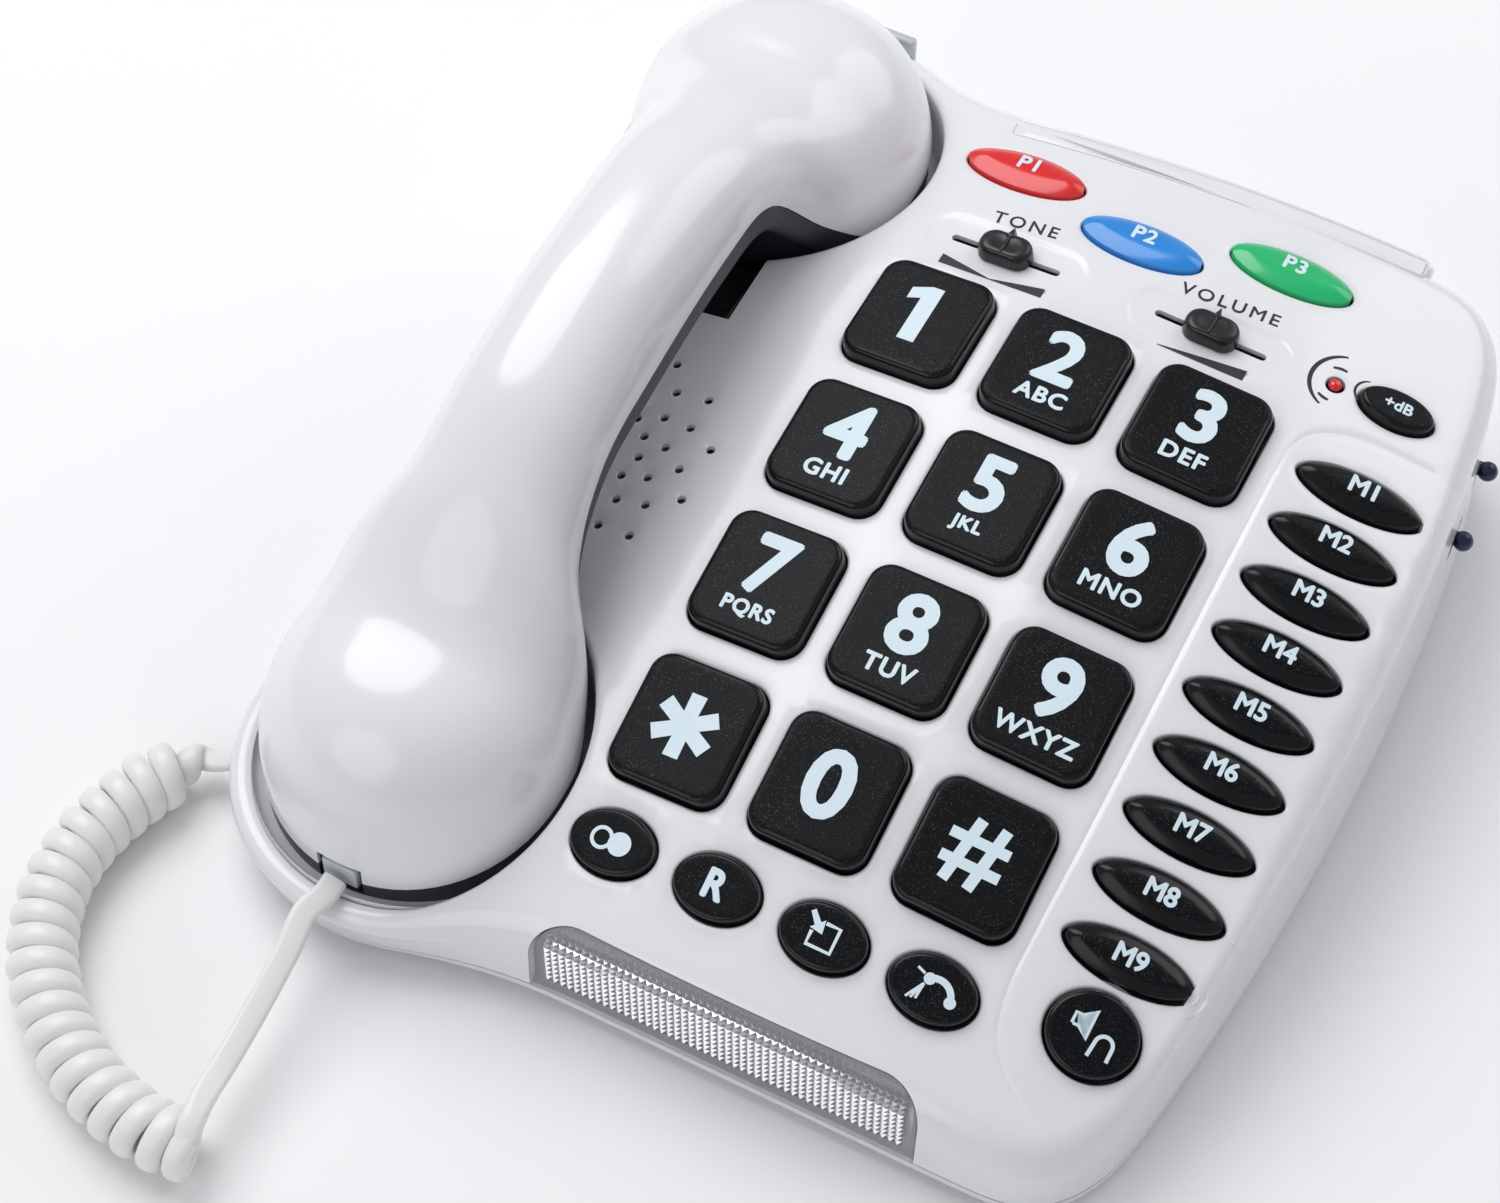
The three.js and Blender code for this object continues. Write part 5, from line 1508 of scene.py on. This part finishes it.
half_width = curve_through([
    (0, MOUTH_RADIUS), (0.12, 0.86 * MOUTH_RADIUS), (0.2, 19.2), (0.3, 16.5), (0.42, 16), (0.7, 16),
    (0.77, 17), (0.83, 0.66 * EAR_RADIUS), (0.88, 0.84 * EAR_RADIUS),
    (0.94, 0.96 * EAR_RADIUS), (1, EAR_RADIUS)])
HANDLE_ARCH = 34.0
seam_rise = curve_through([
    (0, 0), (0.07, 0), (0.2, 0.7 * HANDLE_ARCH), (0.3, HANDLE_ARCH), (0.45, 1.05 * HANDLE_ARCH),
    (0.65, HANDLE_ARCH), (0.76, 0.86 * HANDLE_ARCH), (0.85, 0.3 * HANDLE_ARCH), (0.92, 0), (1, 0)])
crest_rise = curve_through([
    (0, 30), (0.17, 44.5), (0.28, 52), (0.42, 54.5), (0.52, 53.5), (0.69, 48.5), (0.82, 40), (1, 28.5)])
MOUTH_SEAM, EAR_SEAM = 26.0, 50.0


def handset_at(y):
    """Half width, seam height and crest height at a place along the handset."""
    along = (y - MOUTH_Y) / CUP_SPACING
    past = -along * CUP_SPACING / MOUTH_RADIUS if along < 0 else max(0, along - 1) * CUP_SPACING / EAR_RADIUS
    between = min(max(along, 0), 1)
    line = MOUTH_SEAM + (EAR_SEAM - MOUTH_SEAM) * between
    seam = line + float(seam_rise(between)) - (8 * past if along < 0 else 0)
    fade = max(1 - past**2.3, 0.0001) ** (1 / 2.3)
    half = float(half_width(between)) * math.sqrt(max(1 - past * past, 0.0001))
    return half, seam, seam + (line + float(crest_rise(between)) - seam) * fade


def handset_stations():
    ends = np.radians(np.linspace(0, 90, 19)[:-1])
    front = [MOUTH_Y - MOUTH_RADIUS * math.cos(a) * 0.9999 for a in ends]
    rear = [EAR_Y + EAR_RADIUS * math.cos(a) * 0.9999 for a in ends][::-1]
    return front + list(np.linspace(MOUTH_Y, EAR_Y, 76)) + rear


def outer_section(y):
    half, seam, crest = handset_at(y)
    angles = np.linspace(0, math.pi, 41)
    across = np.sign(np.cos(angles)) * np.abs(np.cos(angles)) ** 0.9
    up = np.sin(angles) ** 0.9
    lip = np.array([[HANDSET_X - half, y, seam - 0.02]])
    ring = np.column_stack([HANDSET_X - half * across, np.full(41, y), seam + (crest - seam) * up])
    return np.vstack([lip, ring, lip * [-1, 1, 1] + [2 * HANDSET_X, 0, 0]])


def under_section(y, depth, inset=0.4):
    """A rounded tray section below the seam."""
    half, seam, _ = handset_at(y)
    half = max(half - inset, 0.2)
    corner = min(3.2, half * 0.6, depth * 0.8)
    top = seam - 0.3
    points = [(half, top)]
    for angle in np.radians(np.linspace(0, 90, 7)):
        points.append((half - corner + corner * math.cos(angle),
                       top - depth + corner - corner * math.sin(angle)))
    points += [(-x, z) for x, z in reversed(points)]
    return np.array([(HANDSET_X + x, y, z) for x, z in points])


def cup_body(name, y, radius, floor):
    """A round cup with a soft foot and a shallow dish in its face."""
    skin = Skin()
    bottom = floor + 0.35
    rings = [np.column_stack([circle(HANDSET_X, y, radius, 96), np.full(96, EAR_SEAM + 22)])]
    for angle in np.radians(np.linspace(0, 90, 8)):
        ring = circle(HANDSET_X, y, radius - 3.6 * (1 - math.cos(angle)), 96)
        rings.append(np.column_stack([ring, np.full(96, bottom + 3.6 - 3.6 * math.sin(angle))]))
    for reach, rise in ((radius - 7.0, 0.1), (radius - 9.0, 0.9), (radius - 13.0, 1.4), (2.0, 1.6)):
        rings.append(np.column_stack([circle(HANDSET_X, y, reach, 96), np.full(96, bottom + rise)]))
    indices = skin.bridge(rings)
    skin.cap(indices[0], True)
    skin.cap(indices[-1])
    return skin.piece(name)


def grille_cutter(name, places, radius, low, high):
    skin = Skin()
    for x, y in places:
        rings = [np.column_stack([circle(x, y, radius, 12), np.full(12, z)]) for z in (low, high)]
        indices = skin.bridge(rings)
        skin.cap(indices[0], True)
        skin.cap(indices[1])
    return skin.piece(name)


def make_handset():
    stations = handset_stations()
    skin = Skin()
    skin.bridge([outer_section(y) for y in stations], closed=False)
    shell = skin.piece("handset_upper", merge=0.001)
    activate(shell)
    apply_modifier(shell, "SOLIDIFY", thickness=2.2 * MM, offset=-1)
    carve(shell, [block("plug_notch", (-4.9, -14, -4.1), (4.9, 12, 3.9), handset_jack_matrix())])
    finished(shell, "handset", "white_gloss_plastic", LOOKS["housing"],
             replaces=["handset_outer_shell"], angle=40)

    skin = Skin()
    indices = skin.bridge([under_section(y, 8.6) for y in stations])
    skin.cap(indices[0], True)
    skin.cap(indices[-1])
    tray = skin.piece("handset_lower")
    skin = Skin()
    indices = skin.bridge([under_section(y, 70.0, 0.45) for y in stations])
    skin.cap(indices[0], True)
    skin.cap(indices[-1])
    room = skin.piece("below_seam")
    cups = cup_body("mouth_cup", MOUTH_Y, MOUTH_RADIUS - 1.2, MOUTH_FLOOR)
    ear = cup_body("ear_cup", EAR_Y, EAR_RADIUS - 1.2, EAR_FLOOR)
    carve(cups, [ear], "UNION")
    carve(cups, [room], "INTERSECT")
    carve(tray, [cups], "UNION")
    spots = [(HANDSET_X, EAR_Y)]
    for count, reach in ((6, 3.6), (12, 7.2), (18, 10.8)):
        spots += [tuple(p) for p in circle(HANDSET_X, EAR_Y, reach, count)]
    voice = [(HANDSET_X + x * 3.2, MOUTH_Y + 4 + y * 3.2) for x in (-1, 0, 1) for y in (-1, 0, 1)]
    carve(tray, [
        grille_cutter("ear_holes", spots, 0.85, EAR_FLOOR - 1, EAR_FLOOR + 4.6),
        grille_cutter("voice_holes", voice, 0.75, MOUTH_FLOOR - 1, MOUTH_FLOOR + 4.6),
        block("jack_notch", (-4.9, -14, -4.1), (4.9, 12, 3.9), handset_jack_matrix()),
    ])
    finished(tray, "handset", "charcoal_satin_plastic", LOOKS["inner_shell"],
             replaces=["handset_inner_shell"], angle=35)


# ---------------------------------------------------------------- cord
# The cord lies as it was put down; its loose points are given.

LEAD_ROUTE = [
    (-80.06, -97.2, 18.6), (-80.0, -101, 18.9), (-81.4, -106, 18.6), (-80.6, -113, 17), (-80.2, -122, 14.9),
    (-80, -130.5, 13.2), (-79.6, -138.5, 12.8), (-79, -145.4, 13.6), (-78, -151, 13.6),
]
COIL_ROUTE = [
    (-77.5, -153, 7.1), (-87, -153.6, 7.1), (-100, -151, 7.1), (-113.5, -144, 7.1), (-124.5, -133.5, 7.1),
    (-131, -121, 7.1), (-132.8, -108, 7.1), (-130.6, -95.5, 7.1), (-127.2, -86.5, 7.1), (-122.6, -79.2, 7.1),
]
CORD_WIDTH = 5.0
LEAD_THICK = 2.3
COIL_THICK = 3.7
COIL_RADIUS = 5.1
COIL_PITCH = 5.15


def sweep(name, path, wide, outlines):
    """A cord along a path, with its own outline at each place; wide is the direction of its width."""
    path, wide = np.asarray(path, float), np.asarray(wide, float)
    along = np.gradient(path, axis=0)
    along /= np.linalg.norm(along, axis=1)[:, None]
    wide = wide - (wide * along).sum(1)[:, None] * along
    wide /= np.linalg.norm(wide, axis=1)[:, None]
    thick = np.cross(along, wide)
    skin = Skin()
    rings = [point + np.outer(outline[:, 0], w) + np.outer(outline[:, 1], t)
             for point, w, t, outline in zip(path, wide, thick, outlines)]
    indices = skin.bridge(rings)
    skin.cap(indices[0], True)
    skin.cap(indices[-1])
    return skin.piece(name)


def cord_outline(share):
    """The cord's section: flat in the leads and rounder in the coil."""
    thick = LEAD_THICK + (COIL_THICK - LEAD_THICK) * share
    return rounded_rectangle(CORD_WIDTH, thick, 1.0 + 0.84 * share, 0, 4)


def coil_path(turn_steps=22):
    """The helix round the coil's route, and the direction along the coil at each place."""
    spine = spline_through(COIL_ROUTE, 0.5)
    lengths = np.concatenate([[0], np.cumsum(np.linalg.norm(np.diff(spine, axis=0), axis=1))])
    turns = lengths[-1] / COIL_PITCH
    count = int(turns * turn_steps)
    share = np.linspace(0, 1, count)
    axis = np.stack([np.interp(share * lengths[-1], lengths, spine[:, k]) for k in range(3)], axis=-1)
    along = np.gradient(axis, axis=0)
    along /= np.linalg.norm(along, axis=1)[:, None]
    up = np.array([0, 0, 1.0])
    side = np.cross(along, up)
    angle = math.radians(8) + 2 * math.pi * turns * share
    last = np.clip((1 - share) * turns / 0.6, 0, 1)
    radius = COIL_RADIUS * (0.55 + 0.45 * last * last * (3 - 2 * last))
    path = axis + radius[:, None] * (np.cos(angle)[:, None] * up - np.sin(angle)[:, None] * side)
    return path, along


def plug_block(name, matrix, body, node):
    """A clear modular plug with its contacts and latch."""
    plug = block(name, (-3.8, -10.6, -2.95), (3.8, 1.2, 2.95), matrix)
    apply_modifier(plug, "BEVEL", width=0.45 * MM, segments=3)
    latch = block("latch", (-1.6, -9.5, 2.4), (1.6, 0.6, 3.5), matrix)
    carve(plug, [latch], "UNION")
    finished(plug, body, "clear_plug_plastic", LOOKS["plug"], replaces=[node])
    for i in range(4):
        x = (i - 1.5) * 1.02
        blade = block(f"{name}_contact_{i + 1}", (x - 0.18, -10.4, -2.8), (x + 0.18, -7.4, -0.6), matrix)
        finished(blade, body, "contact_gold", LOOKS["gold"], angle=0)
    return plug


TWIST_PASSES = 14
EASED_POINTS = 44
EASE_PASSES = 60


def make_cords():
    handset_plug = plug_block("handset_plug", handset_jack_matrix(), "handset", "plug_handset")
    base_plug = plug_block("base_plug", base_jack_matrix(), "base", "plug_base")
    helix, helix_axis = coil_path()
    lead = spline_through(LEAD_ROUTE + [tuple(helix[0])], 1.5)
    piece = sweep("handset_lead", lead, np.tile([0.94, 0.0, -0.34], (len(lead), 1)),
                  [cord_outline(0.0)] * (len(lead) - 8) + [cord_outline(t) for t in np.linspace(0, 1, 8)])
    piece.data.materials.append(LOOKS["vinyl"])
    smooth(piece, 60)
    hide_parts("lead_handset")
    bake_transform(piece)
    face = np.array(base_jack_matrix() @ Vector((0, 1.3, 0)))[:3]
    sag = (helix[-1] * 0.5 + face * 0.5) + [0, 0, 0.2]
    tail = spline_through([tuple(helix[-1]), tuple(sag), tuple(face)], 1.2)
    path = np.vstack([helix, tail[1:]])
    tail_wide = np.tile(np.array(base_jack_matrix().to_3x3() @ Vector((1, 0, 0))), (len(tail) - 1, 1))
    wide = np.vstack([helix_axis, tail_wide])
    for _ in range(TWIST_PASSES):
        blended = (np.roll(wide, 1, 0) + wide + np.roll(wide, -1, 0)) / 3
        wide[-16:-1] = blended[-16:-1]
    round_share = np.concatenate([np.ones(len(helix) - 20), np.linspace(1, 0, 20), np.zeros(len(tail) - 1)])
    # The last turn eases into the plug: each point there moves towards its neighbours, more and more.
    ease = np.clip(np.arange(len(path)) - (len(path) - EASED_POINTS), 0, EASED_POINTS // 2)
    ease = ease[1:-1, None] / EASED_POINTS
    for _ in range(EASE_PASSES):
        path[1:-1] += ease * ((path[2:] + path[:-2]) / 2 - path[1:-1])
    coil = sweep("curly_cord", path, wide, [cord_outline(share) for share in round_share])
    finished(coil, "base", "cord_vinyl", LOOKS["vinyl"], replaces=["coil", "lead_base"], angle=60)


# ---------------------------------------------------------------- stage


CAMERA_PLACE = (145.43, -354.35, 576.13)
CAMERA_HEADING = 27.89
CAMERA_TILT = 54.48


def make_stage(settings):
    scene = bpy.context.scene
    deselect()
    heading, tilt = math.radians(CAMERA_HEADING), math.radians(CAMERA_TILT)
    bpy.ops.object.camera_add(location=Vector(CAMERA_PLACE) * MM + PLAN,
                              rotation=(math.pi / 2 - tilt, 0, heading))
    camera = bpy.context.object
    camera.name = "view_camera"
    camera.data.lens = settings.lens
    camera.data.sensor_width = 36
    camera.data.clip_start = 0.01
    scene.camera = camera

    bpy.ops.mesh.primitive_plane_add(size=8, location=(0, 0, 0))
    floor = bpy.context.object
    floor.name = "studio_floor"
    paper = Look("studio_paper")
    paper.fill(paper.shader, {
        "Base Color": paper.mix(paper.noise(6), (0.93, 0.93, 0.935), (0.96, 0.96, 0.96)),
        "Roughness": 0.7 + paper.noise(40) * 0.1,
    })
    floor.data.materials.append(paper.material)

    world = scene.world or bpy.data.worlds.new("studio")
    scene.world = world
    world.use_nodes = True
    sky = world.node_tree.nodes["Background"]
    sky.inputs["Color"].default_value = (0.93, 0.95, 1.0, 1)
    sky.inputs["Strength"].default_value = settings.fill_light
    scene.view_settings.view_transform = "Standard"

    for name, spot, size, power in (
            ("key_softbox", (-0.55, 0.25, 1.05), 1.0, settings.key_light),
            ("back_softbox", (0.5, 0.95, 0.8), 1.0, settings.key_light * 0.45),
            ("front_fill", (-0.3, -1.1, 0.6), 0.9, settings.key_light * 0.3)):
        bpy.ops.object.light_add(type="AREA", location=spot)
        light = bpy.context.object
        light.name = name
        light.data.shape = "DISK"
        light.data.size = size
        light.data.energy = power
        light.rotation_euler = (Vector((0, 0, 0.03)) - Vector(spot)).to_track_quat("-Z", "Y").to_euler()


# ---------------------------------------------------------------- add-on


class TelephoneColours(bpy.types.PropertyGroup):
    """Colours of the telephone's mouldings, prints and cord"""

    housing: FloatVectorProperty(name="Housing", description="White housing and handset", subtype="COLOR",
                                 size=3, min=0, max=1, default=(0.83, 0.833, 0.855))
    inner_shell: FloatVectorProperty(name="Inner shell", description="Dark side of the handset",
                                     subtype="COLOR",
                                     size=3, min=0, max=1, default=(0.022, 0.026, 0.034))
    keys: FloatVectorProperty(name="Keys", description="Number, memory and function keys", subtype="COLOR",
                              size=3, min=0, max=1, default=(0.0045, 0.005, 0.0065))
    red_key: FloatVectorProperty(name="Red key", description="First preset key", subtype="COLOR",
                                 size=3, min=0, max=1, default=(0.75, 0.008, 0.010))
    blue_key: FloatVectorProperty(name="Blue key", description="Second preset key", subtype="COLOR",
                                  size=3, min=0, max=1, default=(0.010, 0.25, 0.74))
    green_key: FloatVectorProperty(name="Green key", description="Third preset key", subtype="COLOR",
                                   size=3, min=0, max=1, default=(0.004, 0.50, 0.16))
    legend: FloatVectorProperty(name="Legends", description="Printing on the keys", subtype="COLOR",
                                size=3, min=0, max=1, default=(0.70, 0.83, 0.90))
    cord: FloatVectorProperty(name="Cord", description="Vinyl of the curly cord", subtype="COLOR",
                              size=3, min=0, max=1, default=(0.86, 0.855, 0.835))


class TelephoneStage(bpy.types.PropertyGroup):
    """Camera and light"""

    lens: FloatProperty(name="Lens", description="Focal length in millimetres", default=81.6, min=20, max=200)
    key_light: FloatProperty(name="Key light", description="Power of the main softbox", default=8.2,
                             min=0, max=500, unit="POWER")
    fill_light: FloatProperty(name="Fill light", description="Strength of the light from all round",
                              default=0.4, min=0, max=5)


def operator(label, words, action):
    """An operator class that runs one maker."""

    def execute(self, context):
        action(context)
        return {"FINISHED"}

    name = label.replace(" ", "_").lower()
    return type(f"TELEPHONE_OT_{name}", (bpy.types.Operator,), {
        "bl_idname": f"telephone.{name}", "bl_label": label, "__doc__": words, "execute": execute})


OPERATORS = [
    operator("Stage", "Add the camera, floor and lights", lambda c: make_stage(c.scene.telephone_stage)),
    operator("Finishes", "Make the materials", lambda c: make_looks(c.scene.telephone_colours)),
    operator("Cords", "Make the cord and its plugs", lambda c: make_cords()),
    operator("Housing", "Make the upper housing and window", lambda c: make_housing()),
    operator("Prisms", "Make the field of prisms in the window", lambda c: make_prism_field()),
    operator("Underside", "Make the lower housing, feet and screws", lambda c: make_underside()),
    operator("Speaker cloth", "Make the cloth behind the speaker holes", lambda c: make_speaker_cloth()),
    operator("Strip", "Make the rear strip", lambda c: make_strip()),
    operator("Keys", "Make all the keys", lambda c: make_keys()),
    operator("Legends", "Print the keys", lambda c: make_legends()),
    operator("Prints", "Print the panel", lambda c: make_prints()),
    operator("Knobs", "Make the slider knobs", lambda c: make_knobs()),
    operator("Side switches", "Make the side switches", lambda c: make_side_switches()),
    operator("Lamp", "Make the boost lamp", lambda c: make_lamp()),
    operator("Hook", "Make the hook switch and wall hook", lambda c: make_hook()),
    operator("Inside", "Finish the inner pieces and jacks", lambda c: make_inside()),
    operator("Handset", "Make the handset's shells", lambda c: make_handset()),
]


class TELEPHONE_PT_panel(bpy.types.Panel):
    """Lists the makers and their settings"""

    bl_label = "Telephone"
    bl_idname = "TELEPHONE_PT_panel"
    bl_space_type = "VIEW_3D"
    bl_region_type = "UI"
    bl_category = "Telephone"

    def draw(self, context):
        for group in (context.scene.telephone_colours, context.scene.telephone_stage):
            for name in group.__annotations__:
                self.layout.prop(group, name)
        for maker in OPERATORS:
            self.layout.operator(maker.bl_idname)


CLASSES = [TelephoneColours, TelephoneStage, TELEPHONE_PT_panel] + OPERATORS


def register():
    for cls in CLASSES:
        bpy.utils.register_class(cls)
    bpy.types.Scene.telephone_colours = PointerProperty(type=TelephoneColours)
    bpy.types.Scene.telephone_stage = PointerProperty(type=TelephoneStage)


def unregister():
    del bpy.types.Scene.telephone_stage
    del bpy.types.Scene.telephone_colours
    for cls in reversed(CLASSES):
        bpy.utils.unregister_class(cls)


def main():
    register()
    for maker in OPERATORS:
        call = getattr(bpy.ops.telephone, maker.bl_idname.split(".")[1])
        if call() != {"FINISHED"}:
            raise RuntimeError(f"{maker.bl_label} did not finish")


if __name__ == "__main__":
    main()
